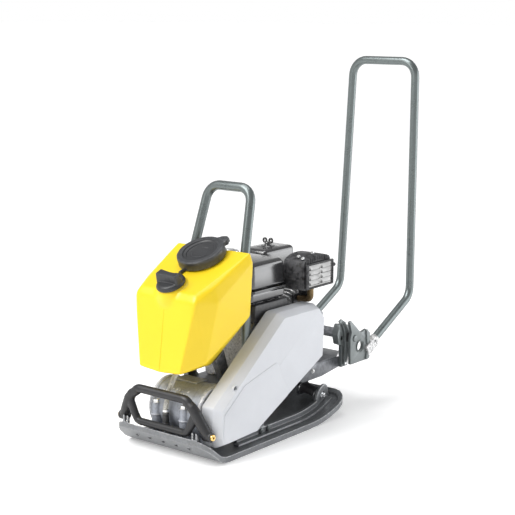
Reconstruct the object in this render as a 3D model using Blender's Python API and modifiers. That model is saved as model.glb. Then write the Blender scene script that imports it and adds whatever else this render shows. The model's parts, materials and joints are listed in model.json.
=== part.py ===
"""Single-direction plate compactor: cast base plate with its exciter, rubber-mounted petrol engine on a
console, water tank, belt guard, lifting bail and folding guide handle. Metres, +Z up. The origin is
in the plane of the sole, under the middle of the base plate. The front lip faces -Y, the guide handle is at
+Y and the belt drive is at +X."""

import math

import bmesh
import bpy
from mathutils import Matrix, Vector

GAP = 0.0003

# Base plate
PLATE_WIDTH = 0.300
PLATE_FRONT = -0.278
PLATE_REAR = 0.274
SOLE_FRONT = -0.205
SOLE_REAR = 0.110
LIP_RADIUS = 0.050
LIP_SLOPE = math.radians(42)
TAIL_RADIUS = 0.330
RIM_HEIGHT = 0.0145
RIM_WIDTH = 0.012
FLOOR = 0.008
RAIL_X = 0.0935
RAIL_TOP = 0.026
LIP_HOLES = 5
LIP_HOLE_PITCH = 0.041
LUG_X = 0.108

# Rubber mounts: the axis of each runs along X between a plate ear and the console
MOUNT_Z = 0.050
MOUNT_TILT = math.radians(12)
MOUNT_RADIUS = 0.0190
MOUNT_Y = {"front": -0.035, "rear": 0.228}
MOUNT_INNER = 0.0303
EAR_INNER = 0.0885
EAR_OUTER = 0.0965
EAR_RADIUS = 0.024

# Exciter and belt drive
EXCITER_Y = -0.178
EXCITER_Z = 0.100
EXCITER_RADIUS = 0.064
EXCITER_LEFT = -0.0575
EXCITER_RIGHT = 0.084
COVER_THICKNESS = 0.009
CRANK_Y = 0.085
CRANK_Z = 0.235
SHAFT_RADIUS = 0.010
BELT_START = 0.1135
BELT_END = 0.1225
EXCITER_PULLEY_RADIUS = 0.036
CLUTCH_PULLEY_RADIUS = 0.040
BELT_HEIGHT = 0.007

# Belt guard
GUARD_BACK = 0.0985
GUARD_CREASE = 0.131
GUARD_FACE = 0.152
GUARD_WALL = 0.003

# Engine
DECK_TOP = 0.134
CYLINDER_TILT = math.radians(25)
CYLINDER_START = 0.0556
CYLINDER_END = 0.140

# Water tank
LID_TILT = math.radians(25)
LID_CENTRE = Vector((0.002, -0.121, 0.4445))
KNOB_CENTRE = Vector((0.0, -0.225, 0.3920))
LID_RADIUS = 0.0585
KNOB_RADIUS = 0.035

# Front handle
BOSS_X = 0.132
BOSS_Y = -0.2545
BOSS_Z = 0.070
BOSS_END = 0.1440

# Guide handle
PIVOT_Y = 0.336
PIVOT_Z = 0.180
HANDLE_RADIUS = 0.011
SOCKET = (0.116, 0.396, 0.1420)
HANDLE_BEND = (0.116, 0.599, 0.2490)
HANDLE_TOP = (0.1000, 0.6300, 0.8790)
BRACKET_START = 0.112
BRACKET_END = 0.120

LOOKS = {
    "cast_grey": ((0.13, 0.14, 0.15), 0.50, 0.5),
    "frame_grey": ((0.10, 0.11, 0.12), 0.45, 0.4),
    "handle_grey": ((0.20, 0.22, 0.22), 0.40, 0.4),
    "aluminium": ((0.62, 0.62, 0.63), 0.35, 1.0),
    "steel": ((0.45, 0.45, 0.46), 0.30, 1.0),
    "brass": ((0.75, 0.52, 0.20), 0.30, 1.0),
    "yellow_plastic": ((0.92, 0.66, 0.02), 0.35, 0.0),
    "light_grey_plastic": ((0.62, 0.64, 0.66), 0.45, 0.0),
    "black_plastic": ((0.02, 0.02, 0.022), 0.50, 0.0),
    "black_gloss": ((0.015, 0.015, 0.017), 0.20, 0.0),
    "rubber": ((0.02, 0.02, 0.02), 0.80, 0.0),
    "hose": ((0.55, 0.55, 0.52), 0.35, 0.0),
    "heat_tinted_steel": ((0.30, 0.22, 0.12), 0.45, 1.0),
}


def clear_scene():
    for obj in list(bpy.data.objects):
        bpy.data.objects.remove(obj, do_unlink=True)


def new_collection(name):
    collection = bpy.data.collections.new(name)
    bpy.context.scene.collection.children.link(collection)
    return collection


def material(look):
    found = bpy.data.materials.get(look)
    if found:
        return found
    colour, roughness, metallic = LOOKS[look]
    made = bpy.data.materials.new(look)
    made.use_nodes = True
    shader = made.node_tree.nodes["Principled BSDF"]
    shader.inputs["Base Color"].default_value = (*colour, 1.0)
    shader.inputs["Roughness"].default_value = roughness
    shader.inputs["Metallic"].default_value = metallic
    return made


def add_object(name, data, look):
    """A part has a look; a cutter or a shape joined to a part has none."""
    obj = bpy.data.objects.new(name, data)
    if look:
        PARTS.objects.link(obj)
        data.materials.append(material(look))
        return obj
    TOOLS.objects.link(obj)
    obj.hide_render = True
    obj.display_type = "WIRE"
    return obj


def add_mesh(name, bm, look, matrix=None):
    bmesh.ops.recalc_face_normals(bm, faces=bm.faces)
    mesh = bpy.data.meshes.new(name)
    bm.to_mesh(mesh)
    bm.free()
    mesh.shade_smooth()
    mesh.set_sharp_from_angle(angle=math.radians(35))
    obj = add_object(name, mesh, look)
    if matrix is not None:
        obj.matrix_world = matrix
    return obj


def frame_along(direction, origin):
    """A frame at the origin given whose Z axis runs along the direction."""
    turn = Vector(direction).to_track_quat("Z", "Y").to_matrix().to_4x4()
    return Matrix.Translation(origin) @ turn


def round_edges(obj, width, segments=2):
    bevel = obj.modifiers.new("rounding", "BEVEL")
    bevel.width = width
    bevel.segments = segments
    bevel.limit_method = "ANGLE"
    bevel.angle_limit = math.radians(40)
    return obj


def block(name, low, high, look=None, rounding=0.0, matrix=None):
    """A box from its low corner to its high corner."""
    low, high = Vector(low), Vector(high)
    size = high - low
    middle = (low + high) / 2
    bm = bmesh.new()
    bmesh.ops.create_cube(bm, size=1.0)
    bmesh.ops.scale(bm, vec=size, verts=bm.verts)
    place = Matrix.Translation(middle)
    obj = add_mesh(name, bm, look, place if matrix is None else matrix @ place)
    return round_edges(obj, rounding) if rounding else obj


def rod(name, start, end, radius, look=None, end_radius=None, sides=24):
    """A cylinder, or a cone, between two points."""
    start, end = Vector(start), Vector(end)
    bm = bmesh.new()
    bmesh.ops.create_cone(
        bm,
        cap_ends=True,
        segments=sides,
        radius1=radius,
        radius2=radius if end_radius is None else end_radius,
        depth=(end - start).length,
    )
    return add_mesh(name, bm, look, frame_along(end - start, (start + end) / 2))


def lathe(name, profile, origin, direction, look=None, steps=28, ring=False):
    """Turns (radius, height) points about the direction. The points run down the outer side; a ring's
    outline closes on itself, and any other outline starts and ends on the axis."""
    bm = bmesh.new()
    verts = [bm.verts.new((radius, 0.0, height)) for radius, height in profile]
    for first, second in zip(verts, verts[1:]):
        bm.edges.new((first, second))
    if ring:
        bm.edges.new((verts[-1], verts[0]))
    mesh = bpy.data.meshes.new(name)
    bm.to_mesh(mesh)
    bm.free()
    obj = add_object(name, mesh, look)
    screw = obj.modifiers.new("turn", "SCREW")
    screw.axis = "Z"
    screw.steps = steps
    screw.render_steps = steps
    screw.use_merge_vertices = True
    screw.merge_threshold = 0.00001
    screw.use_normal_calculate = False
    obj.matrix_world = frame_along(direction, origin)
    return obj


def evaluated_mesh(obj):
    bpy.context.view_layer.update()
    return bpy.data.meshes.new_from_object(
        obj.evaluated_get(bpy.context.evaluated_depsgraph_get())
    )


def to_mesh(curve_obj, name, look):
    """Replaces a curve object by a mesh object whose caps are welded to its sides."""
    matrix = curve_obj.matrix_world.copy()
    mesh = evaluated_mesh(curve_obj)
    bpy.data.objects.remove(curve_obj, do_unlink=True)
    bm = bmesh.new()
    bm.from_mesh(mesh)
    bpy.data.meshes.remove(mesh)
    bmesh.ops.remove_doubles(bm, verts=bm.verts, dist=0.00001)
    bmesh.ops.dissolve_degenerate(bm, edges=bm.edges, dist=0.000001)
    return add_mesh(name, bm, look, matrix)


PLANES = {
    "X": Matrix(((0, 0, 1, 0), (1, 0, 0, 0), (0, 1, 0, 0), (0, 0, 0, 1))),
    "Y": Matrix(((1, 0, 0, 0), (0, 0, -1, 0), (0, 1, 0, 0), (0, 0, 0, 1))),
    "Z": Matrix.Identity(4),
}


def slab(name, outlines, axis, start, end, look=None):
    """Extrudes flat outlines along an axis. For X they are (y, z) points, for Y (x, z) and for Z (x, y).
    An outline inside another is a hole."""
    curve = bpy.data.curves.new(name, "CURVE")
    curve.dimensions = "2D"
    curve.fill_mode = "BOTH"
    curve.extrude = abs(end - start) / 2
    for outline in outlines:
        spline = curve.splines.new("POLY")
        spline.points.add(len(outline) - 1)
        for point, (u, v) in zip(spline.points, outline):
            point.co = (u, v, 0.0, 1.0)
        spline.use_cyclic_u = True
    obj = add_object(name + "_outline", curve, None)
    middle = (start + end) / 2
    height = -middle if axis == "Y" else middle
    obj.matrix_world = PLANES[axis] @ Matrix.Translation((0.0, 0.0, height))
    bpy.context.view_layer.update()
    return to_mesh(obj, name, look)


def tube(name, points, radius, look=None, resolution=3, solid=False):
    curve = bpy.data.curves.new(name, "CURVE")
    curve.dimensions = "3D"
    curve.bevel_depth = radius
    curve.bevel_resolution = resolution
    curve.use_fill_caps = True
    spline = curve.splines.new("POLY")
    spline.points.add(len(points) - 1)
    for point, place in zip(spline.points, points):
        point.co = (*place, 1.0)
    if not solid:
        return add_object(name, curve, look)
    return to_mesh(add_object(name + "_path", curve, None), name, look)


def rounded(points, radius, steps=4, closed=True):
    """The corners of an outline or a path turned into arcs. The radius is one number or one a corner."""
    points = [Vector(point) for point in points]
    count = len(points)
    radii = radius if isinstance(radius, (list, tuple)) else [radius] * count
    made = []
    for index, corner in enumerate(points):
        end = not closed and index in (0, count - 1)
        if end or radii[index] <= 0:
            made.append(tuple(corner))
            continue
        before = (points[index - 1] - corner).normalized()
        after = (points[(index + 1) % count] - corner).normalized()
        half = before.angle(after) / 2
        reach = radii[index] / math.tan(half)
        middle = corner + (before + after).normalized() * (radii[index] / math.sin(half))
        first = (corner + before * reach - middle).normalized()
        last = (corner + after * reach - middle).normalized()
        for step in range(steps + 1):
            made.append(tuple(middle + first.slerp(last, step / steps) * radii[index]))
    return made


def circle(y, z, radius, steps=20):
    turns = [2 * math.pi * step / steps for step in range(steps)]
    return [(y + radius * math.cos(turn), z + radius * math.sin(turn)) for turn in turns]


def cut(obj, *tools):
    return combine(obj, tools, "DIFFERENCE")


def join(obj, *tools):
    return combine(obj, tools, "UNION")


def combine(obj, tools, operation):
    for tool in tools:
        boolean = obj.modifiers.new(operation.lower(), "BOOLEAN")
        boolean.operation = operation
        boolean.solver = "EXACT"
        boolean.object = tool
    return obj


def mirrored(points):
    return points + [(-x, y) for x, y in reversed(points)]


# Base plate ----------------------------------------------------------------------------------------


def lift(y):
    """How far the sole rises at y: a tangent arc and a straight slope at the lip, a long arc at the tail."""
    if y > SOLE_REAR:
        return TAIL_RADIUS - math.sqrt(TAIL_RADIUS**2 - (y - SOLE_REAR) ** 2)
    back = SOLE_FRONT - y
    if back <= 0:
        return 0.0
    arc = LIP_RADIUS * math.sin(LIP_SLOPE)
    if back < arc:
        return LIP_RADIUS - math.sqrt(LIP_RADIUS**2 - back**2)
    return LIP_RADIUS * (1 - math.cos(LIP_SLOPE)) + (back - arc) * math.tan(LIP_SLOPE)


def bend_ends(obj):
    """Applies the modifiers, then raises the lip and the tail of the flat plate."""
    bm = bmesh.new()
    mesh = evaluated_mesh(obj)
    bm.from_mesh(mesh)
    bpy.data.meshes.remove(mesh)
    obj.modifiers.clear()
    arc = LIP_RADIUS * math.sin(LIP_SLOPE)
    stations = [SOLE_FRONT - arc * step / 4 for step in range(5)]
    stations += [SOLE_REAR + (PLATE_REAR - SOLE_REAR) * step / 6 for step in range(6)]
    for y in stations:
        everything = bm.verts[:] + bm.edges[:] + bm.faces[:]
        bmesh.ops.bisect_plane(bm, geom=everything, dist=0.000001, plane_co=(0, y, 0), plane_no=(0, 1, 0))
    for vert in bm.verts:
        vert.co.z += lift(vert.co.y)
    bmesh.ops.triangulate(bm, faces=bm.faces)
    bm.to_mesh(obj.data)
    bm.free()
    obj.data.shade_smooth()
    obj.data.set_sharp_from_angle(angle=math.radians(30))


def plate_outline(inset):
    half = PLATE_WIDTH / 2 - inset
    front, rear = PLATE_FRONT + inset, PLATE_REAR - inset
    corners = [(half, front), (half, rear), (-half, rear), (-half, front)]
    radii = [0.036 - inset, 0.045 - inset, 0.045 - inset, 0.036 - inset]
    return rounded(corners, radii, steps=4)


def ear(name, y, side):
    """A round-topped tab on the rail, bored for the mount's stud. Its height allows for the tail's rise."""
    centre = MOUNT_Z - lift(y)
    top = [(y + EAR_RADIUS * math.cos(math.pi * step / 8), centre + EAR_RADIUS * math.sin(math.pi * step / 8))
           for step in range(9)]
    outline = [(y + EAR_RADIUS + 0.006, FLOOR - 0.002)] + top + [(y - EAR_RADIUS - 0.006, FLOOR - 0.002)]
    edges = sorted((side * EAR_INNER, side * EAR_OUTER))
    hole = circle(y, centre - (EAR_OUTER - EAR_INNER) / 2 * math.tan(MOUNT_TILT), 0.0052, 12)
    return slab(name, [outline, hole], "X", *edges)


def lug(name, x):
    """A fork with a round notch that stands on the lip."""
    low, top, half = 0.002, 0.0325, 0.0085
    notch = [(x - 0.0035 * math.cos(math.pi * step / 6), 0.020 - 0.0035 * math.sin(math.pi * step / 6))
             for step in range(7)]
    outline = [(x - half, low), (x + half, low), (x + half, top), (x + 0.0035, top)]
    outline += list(reversed(notch)) + [(x - 0.0035, top), (x - half, top)]
    return slab(name, [outline], "Y", -0.2765, -0.2690)


def base_plate():
    plate = slab("base_plate", [plate_outline(0.0)], "Z", 0.0, RIM_HEIGHT, "cast_grey")
    pocket = slab("plate_pocket", [plate_outline(RIM_WIDTH)], "Z", FLOOR, RIM_HEIGHT + 0.01)
    cut(plate, pocket)
    for side, hand in ((1, "right"), (-1, "left")):
        low, high = sorted((side * (RAIL_X - 0.005), side * (RAIL_X + 0.005)))
        rail = block(f"rail_{hand}", (low, -0.115, FLOOR - 0.002), (high, MOUNT_Y["rear"] - EAR_RADIUS, RAIL_TOP))
        low, high = sorted((side * (RAIL_X + 0.004), side * (RAIL_X + 0.020)))
        terrace = block(f"terrace_{hand}", (low, -0.125, FLOOR - 0.0025), (high, 0.248, RIM_HEIGHT - 0.002))
        join(plate, rail, terrace, lug(f"lug_{hand}", side * LUG_X))
        for end, y in MOUNT_Y.items():
            join(plate, ear(f"ear_{end}_{hand}", y, side))
    bend_ends(plate)
    across = Vector((0.0, -math.sin(LIP_SLOPE), -math.cos(LIP_SLOPE)))
    y = -0.2565
    for index in range(LIP_HOLES):
        x = (index - (LIP_HOLES - 1) / 2) * LIP_HOLE_PITCH
        middle = Vector((x, y, lift(y) + FLOOR))
        cut(plate, rod(f"lip_hole_{index}", middle - across * 0.02, middle + across * 0.03, 0.0042, sides=10))
    return plate


# Exciter and drive ---------------------------------------------------------------------------------

EXCITER_AXIS = Vector((0.0, EXCITER_Y, EXCITER_Z))
CRANK_AXIS = Vector((0.0, CRANK_Y, CRANK_Z))
BOSS_RADIUS = 0.0125
BOSS_TOP = 0.104
FRONT_BOSS_TOP = 0.115
BOLT_PLACES = [(x, y) for y in (-0.236, -0.120) for x in (-0.0435, 0.0435)]


def along_x(axis_point, x):
    return Vector((x, axis_point.y, axis_point.z))


def boss_top(y):
    return FRONT_BOSS_TOP if y < -0.2 else BOSS_TOP


def exciter_housing():
    start, end = along_x(EXCITER_AXIS, EXCITER_LEFT), along_x(EXCITER_AXIS, EXCITER_RIGHT)
    housing = rod("exciter_housing", start, end, EXCITER_RADIUS, "aluminium", sides=40)
    foot = block("exciter_foot", (-0.053, SOLE_FRONT, FLOOR + GAP), (0.062, -0.118, 0.062))
    join(housing, foot)
    for index, (x, y) in enumerate(BOLT_PLACES):
        low = max(FLOOR, lift(y - BOSS_RADIUS) + RIM_HEIGHT) + 0.001
        join(housing, rod(f"exciter_boss_{index}", (x, y, low), (x, y, boss_top(y)), BOSS_RADIUS, sides=20))
    outer = Vector((0.01, 0.0, 0.0))
    cut(housing, rod("exciter_chamber", start - outer, end + outer, 0.0455, sides=32))
    for index, (x, y) in enumerate(BOLT_PLACES):
        cut(housing, rod(f"bolt_space_{index}", (x, y, boss_top(y)), (x, y, boss_top(y) + 0.060), BOSS_RADIUS, sides=20),
            rod(f"bolt_bore_{index}", (x, y, boss_top(y) - 0.024), (x, y, boss_top(y) + 0.010), 0.0055, sides=12))
    return housing


def exciter_cover(hand, side, inner):
    """An end cover with a spigot that carries the bearing. The right one lets the shaft through."""
    bore = SHAFT_RADIUS + 0.001 if side > 0 else 0.0
    outer = COVER_THICKNESS
    if bore:
        profile = [(bore, outer), (0.060, outer), (EXCITER_RADIUS, outer - 0.004), (EXCITER_RADIUS, GAP),
                   (0.0450, GAP), (0.0450, -0.016), (0.0303, -0.016), (0.0303, 0.0), (bore, 0.0)]
    else:
        profile = [(0.0, outer), (0.060, outer), (EXCITER_RADIUS, outer - 0.004), (EXCITER_RADIUS, GAP),
                   (0.0450, GAP), (0.0450, -0.016), (0.0303, -0.016), (0.0303, 0.0), (0.0, 0.0)]
    return lathe(f"exciter_cover_{hand}", profile, along_x(EXCITER_AXIS, inner), (side, 0, 0), "aluminium",
                 steps=32, ring=bool(bore))


def bearing(name, x):
    inner, outer, half = SHAFT_RADIUS + GAP, 0.0300, 0.0075
    profile = [(inner, half), (outer, half), (outer, -half), (inner, -half)]
    return lathe(name, profile, along_x(EXCITER_AXIS, x), (1, 0, 0), "steel", steps=24, ring=True)


def eccentric_shaft():
    shaft = rod("eccentric_shaft", along_x(EXCITER_AXIS, EXCITER_LEFT + 0.001),
                along_x(EXCITER_AXIS, BELT_END + 0.0115), SHAFT_RADIUS, "steel", sides=20)
    sweep = [math.pi + math.pi * step / 12 for step in range(13)]
    weight = [(EXCITER_Y + 0.040 * math.cos(turn), EXCITER_Z + 0.040 * math.sin(turn)) for turn in sweep]
    return join(shaft, slab("eccentric_weight", [weight], "X", -0.030, 0.052))


def pulley(name, axis_point, groove, bore, look, drum=0.0):
    """A grooved pulley. The clutch also has a drum on its outer side."""
    flange = groove + BELT_HEIGHT
    low, high = BELT_START - 0.001, BELT_END + 0.001
    outer = high + 0.004
    profile = [(bore, outer), (flange, outer), (flange, high), (groove - GAP, high - 0.001),
               (groove - GAP, low + 0.001), (flange, low), (flange, low - 0.004), (bore, low - 0.004)]
    if drum:
        profile = [(bore, outer + 0.016), (drum, outer + 0.016)] + [(drum, outer + 0.0005)] + profile[1:]
    return lathe(name, profile, axis_point, (1, 0, 0), look, steps=36, ring=True)


def v_belt():
    """The ring that wraps both pulleys."""
    return slab("v_belt", [belt_outline(BELT_HEIGHT - 0.0004), belt_outline(0.0)], "X", BELT_START, BELT_END,
                "rubber")


def belt_outline(extra):
    span = Vector((CRANK_Y - EXCITER_Y, CRANK_Z - EXCITER_Z))
    tilt = math.atan2(span.y, span.x)
    lean = math.asin((CLUTCH_PULLEY_RADIUS - EXCITER_PULLEY_RADIUS) / span.length)
    points = []
    for y, z, radius, first in ((CRANK_Y, CRANK_Z, CLUTCH_PULLEY_RADIUS, -math.pi / 2 - lean),
                                (EXCITER_Y, EXCITER_Z, EXCITER_PULLEY_RADIUS, math.pi / 2 + lean)):
        sweep = math.pi + (2 * lean if first < 0 else -2 * lean)
        for step in range(17):
            turn = tilt + first + sweep * step / 16
            reach = radius + extra
            points.append((y + reach * math.cos(turn), z + reach * math.sin(turn)))
    return points


def exciter_group():
    exciter_housing()
    exciter_cover("left", -1, EXCITER_LEFT)
    exciter_cover("right", 1, EXCITER_RIGHT)
    bearing("exciter_bearing_left", EXCITER_LEFT + 0.0085)
    bearing("exciter_bearing_right", EXCITER_RIGHT - 0.0085)
    for index, (x, y) in enumerate(BOLT_PLACES):
        profile = [(0.0, 0.0092), (0.0095, 0.0092), (0.0110, 0.0074), (0.0110, GAP), (0.0050, GAP),
                   (0.0050, -0.0200), (0.0, -0.0200)]
        lathe(f"exciter_bolt_{index + 1}", profile, (x, y, boss_top(y)), (0, 0, 1), "steel", steps=12)
    holder = joint_empty("eccentric_axis", EXCITER_AXIS)
    keep_under(holder, eccentric_shaft(),
               pulley("exciter_pulley", EXCITER_AXIS, EXCITER_PULLEY_RADIUS, SHAFT_RADIUS + GAP, "steel"))


# Belt guard ----------------------------------------------------------------------------------------

GUARD_OUTLINE = [(-0.233, 0.036), (-0.205, 0.036), (-0.100, 0.040), (-0.083, 0.052), (0.161, 0.172),
                 (0.168, 0.276), (0.140, 0.311), (-0.004, 0.311), (-0.238, 0.130), (-0.241, 0.062)]


def belt_guard():
    """A moulded cover, open towards the engine: a face, a chamfer round it and a deep side wall."""
    outline = rounded(GUARD_OUTLINE, [0.008, 0.010, 0.012, 0.010, 0.012, 0.014, 0.016, 0.030, 0.012, 0.010],
                      steps=3)
    bm = bmesh.new()
    face = bm.faces.new([bm.verts.new((GUARD_CREASE, y, z)) for y, z in outline])
    rim = face.edges[:]
    back = bmesh.ops.extrude_edge_only(bm, edges=rim)["geom"]
    for vert in [piece for piece in back if isinstance(piece, bmesh.types.BMVert)]:
        vert.co.x = GUARD_BACK
    bmesh.ops.inset_region(bm, faces=[face], thickness=0.0105)
    bmesh.ops.translate(bm, verts=face.verts, vec=(GUARD_FACE - GUARD_CREASE, 0, 0))
    guard = add_mesh("belt_guard", bm, "light_grey_plastic")
    shell = guard.modifiers.new("wall", "SOLIDIFY")
    shell.thickness = GUARD_WALL
    shell.offset = -1.0
    shell.use_even_offset = True
    return guard


# Console, mounts, bail -----------------------------------------------------------------------------


def engine_console():
    """The welded sub-frame: a deck with folded sides, legs down to the mounts and posts for the tank."""
    deck = [(0.085, -0.105), (0.085, 0.300), (0.060, 0.352)]
    console = slab("engine_console", [mirrored(deck)], "Z", 0.128, DECK_TOP, "frame_grey")
    for side, hand in ((1, "right"), (-1, "left")):
        low, high = sorted((side * 0.0795, side * 0.0850))
        flange = [(-0.105, 0.110), (-0.105, 0.130), (0.300, 0.130), (0.335, 0.130), (0.335, 0.106), (0.240, 0.094),
                  (0.160, 0.094), (0.130, 0.110)]
        join(console, slab(f"flange_{hand}", [flange], "X", low, high))
        for end, y in MOUNT_Y.items():
            low, high = sorted((side * 0.0240, side * (MOUNT_INNER - GAP)))
            leg = rounded([(y - 0.022, 0.129), (y - 0.019, 0.038), (y + 0.019, 0.038), (y + 0.022, 0.129)],
                          [0, 0.014, 0.014, 0], steps=3)
            join(console, slab(f"leg_{end}_{hand}", [leg], "X", low, high))
        post = [(-0.105, 0.129), (-0.085, 0.129), (-0.122, 0.2340), (-0.151, 0.2140)]
        low, high = sorted((side * 0.0480, side * 0.0660))
        join(console, slab(f"post_{hand}", [post], "X", low, high))
    opening = block("deck_opening", (-0.018, 0.175, 0.12), (0.018, 0.290, 0.14))
    return cut(console, opening)


def rubber_mount(end, hand, side):
    """A waisted rubber buffer between two washers, tilted down to the plate's ear. A stud runs through the
    ear to a nut, and a short stud meets the console's leg."""
    way = Vector((side * math.cos(MOUNT_TILT), 0.0, -math.sin(MOUNT_TILT)))
    ear_point = Vector((side * EAR_INNER, MOUNT_Y[end], MOUNT_Z))
    clear = MOUNT_RADIUS * math.tan(MOUNT_TILT) + GAP
    whole = (EAR_INNER - MOUNT_INNER) / math.cos(MOUNT_TILT)
    low, high = clear - whole, -clear
    middle = (low + high) / 2
    thick = EAR_OUTER - EAR_INNER
    nut = thick / math.cos(MOUNT_TILT) + 0.0095 * math.tan(MOUNT_TILT) + GAP
    profile = [(0.0, nut + 0.0055), (0.0095, nut + 0.0055), (0.0095, nut), (0.0035, nut), (0.0035, high),
               (MOUNT_RADIUS, high), (MOUNT_RADIUS, high - 0.005), (0.0145, high - 0.015), (0.0130, middle),
               (0.0145, low + 0.015), (MOUNT_RADIUS, low + 0.005), (MOUNT_RADIUS, low), (0.0060, low),
               (0.0060, low - clear + 0.0020), (0.0, low - clear + 0.0020)]
    return lathe(f"rubber_mount_{end}_{hand}", profile, ear_point, way, "rubber", steps=20)


def lifting_bail():
    half = [(0.0880, -0.0625, DECK_TOP + GAP), (0.0800, -0.0625, 0.445), (0.0655, -0.0175, 0.6035)]
    path = half + [(-x, y, z) for x, y, z in reversed(half)]
    points = rounded(path, [0, 0.060, 0.036, 0.036, 0.060, 0], steps=6, closed=False)
    return tube("lifting_bail", points, 0.0115, "handle_grey", resolution=4)


# Water tank ----------------------------------------------------------------------------------------

# Half of the tank's corners, (x, y, z): front face, corner facets, sides and the sloping top.
TANK_CORNERS = [
    (0.062, -0.273, 0.2055), (0.093, -0.251, 0.372), (0.084, -0.240, 0.388),
    (0.098, -0.222, 0.226), (0.114, -0.196, 0.366), (0.104, -0.196, 0.402),
    (0.114, -0.082, 0.316), (0.121, -0.080, 0.442), (0.112, -0.0795, 0.4650),
    (0.058, -0.160, 0.205), (0.000, -0.273, 0.2010),
]


def lid_frame(centre):
    """A frame on the tank's sloping top whose Z axis is square to it."""
    return Matrix.Translation(centre) @ Matrix.Rotation(LID_TILT, 4, "X")


LID_NORMAL = Matrix.Rotation(LID_TILT, 3, "X") @ Vector((0.0, 0.0, 1.0))


def hull(name, corners, look=None):
    bm = bmesh.new()
    for x, y, z in corners:
        bm.verts.new((x, y, z))
        bm.verts.new((-x, y, z))
    made = bmesh.ops.convex_hull(bm, input=bm.verts)
    spare = [piece for piece in made["geom_interior"] if isinstance(piece, bmesh.types.BMVert)]
    bmesh.ops.delete(bm, geom=spare, context="VERTS")
    flat = math.radians(1)
    bmesh.ops.dissolve_limit(bm, angle_limit=flat, verts=bm.verts, edges=bm.edges)
    return add_mesh(name, bm, look)


def water_tank():
    tank = hull("water_tank", TANK_CORNERS, "yellow_plastic")
    middle = Vector((0.0, -0.165, 0.330))
    shrunk = []
    for corner in TANK_CORNERS:
        x, y, z = Vector(corner) - middle
        shrunk.append((0.965 * x, middle.y + 0.960 * y, middle.z + 0.970 * z))
    filler = LID_CENTRE - LID_NORMAL * 0.030
    valve = KNOB_CENTRE - LID_NORMAL * 0.030
    neck = rod("filler_neck", filler, LID_CENTRE + LID_NORMAL * 0.0120, 0.045, sides=32)
    boss = rod("valve_boss", valve, KNOB_CENTRE + LID_NORMAL * 0.0090, 0.034, end_radius=0.030, sides=24)
    join(tank, neck, boss)
    cut(tank, hull("tank_inside", shrunk))
    cut(tank, rod("filler_bore", filler - LID_NORMAL * 0.02, LID_CENTRE + LID_NORMAL * 0.03, 0.040, sides=32))
    return tank


def tank_lid():
    outer = LID_RADIUS
    profile = [(0.0, 0.0215), (0.040, 0.0215), (0.044, 0.0250), (outer - 0.006, 0.0250), (outer, 0.0190),
               (outer, 0.0040), (0.0465, 0.0040), (0.0465, 0.0140), (0.0, 0.0140)]
    lid = lathe("tank_lid", profile, LID_CENTRE, LID_NORMAL, "black_plastic", steps=36)
    place = lid_frame(LID_CENTRE) @ Matrix.Rotation(math.radians(62), 4, "Z")
    tab = block("lid_tab", (0.053, -0.012, 0.0060), (0.071, 0.012, 0.0180), matrix=place)
    return join(lid, tab)


def water_valve_knob():
    low = 0.0093
    profile = [(0.0, low + 0.0100), (KNOB_RADIUS - 0.004, low + 0.0100), (KNOB_RADIUS, low + 0.0070),
               (KNOB_RADIUS, low), (0.0, low)]
    knob = lathe("water_valve_knob", profile, KNOB_CENTRE, LID_NORMAL, "black_plastic", steps=28)
    wing = block("knob_wing", (-0.033, -0.009, low + 0.006), (0.033, 0.009, low + 0.026),
                 matrix=lid_frame(KNOB_CENTRE))
    return join(knob, wing)


# Water feed and front handle -----------------------------------------------------------------------


def front_handle():
    """The carrying arch, the sprinkler bar under it and the end bosses, moulded in one."""
    y = -0.2660
    arch = [(BOSS_X, BOSS_Y, BOSS_Z), (0.106, y, 0.120), (0.076, y, 0.1490)]
    arch = arch + [(-x, *rest) for x, *rest in reversed(arch)]
    bar = [(0.099, y, 0.116), (0.078, y, 0.0695)]
    bar = bar + [(-x, *rest) for x, *rest in reversed(bar)]
    handle = tube("front_handle", rounded(arch, [0, 0.040, 0.020, 0.020, 0.040, 0], closed=False), 0.0105,
                  "black_plastic", solid=True)
    join(handle, tube("sprinkler_bar", rounded(bar, [0, 0.016, 0.016, 0], closed=False), 0.0090, solid=True))
    for side, hand in ((1, "right"), (-1, "left")):
        join(handle, rod(f"end_boss_{hand}", (side * (BOSS_X - 0.012), BOSS_Y, BOSS_Z),
                         (side * BOSS_END, BOSS_Y, BOSS_Z), 0.0115))
    return handle


def water_feed():
    for side, hand in ((1, "right"), (-1, "left")):
        profile = [(0.0, 0.0040), (0.0060, 0.0040), (0.0075, 0.0025), (0.0075, 0.0), (0.0, 0.0)]
        lathe(f"sprinkler_plug_{hand}", profile, (side * (BOSS_END + GAP), BOSS_Y, BOSS_Z), (side, 0, 0), "brass",
              steps=16)
    elbow = rod("hose_elbow", (0.0, -0.2530, 0.0790), (0.0, -0.2530, 0.1010), 0.0075, "black_plastic", sides=16)
    join(elbow, block("elbow_foot", (-0.009, -0.2565, 0.0600), (0.009, -0.2465, 0.0820)))
    route = [(0.0, -0.2530, 0.1010 + GAP), (0.0, -0.2530, 0.1100), (0.001, -0.2495, 0.130), (0.004, -0.2445, 0.152),
             (0.010, -0.2360, 0.178), (0.014, -0.2250, 0.1985)]
    tube("water_hose", smooth_route(route), 0.0060, "hose", resolution=2)


def smooth_route(points, between=4):
    """Points on a smooth curve through the route's own points."""
    points = [Vector(point) for point in points]
    padded = [2 * points[0] - points[1], *points, 2 * points[-1] - points[-2]]
    made = []
    for p0, p1, p2, p3 in zip(padded, padded[1:], padded[2:], padded[3:]):
        for step in range(between):
            t = step / between
            made.append(0.5 * (2 * p1 + (p2 - p0) * t + (2 * p0 - 5 * p1 + 4 * p2 - p3) * t * t
                               + (3 * p1 - p0 - 3 * p2 + p3) * t**3))
    return made + [points[-1]]


# Engine --------------------------------------------------------------------------------------------

CYLINDER_FRAME = Matrix.Translation(CRANK_AXIS) @ Matrix.Rotation(CYLINDER_TILT, 4, "X")


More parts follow.
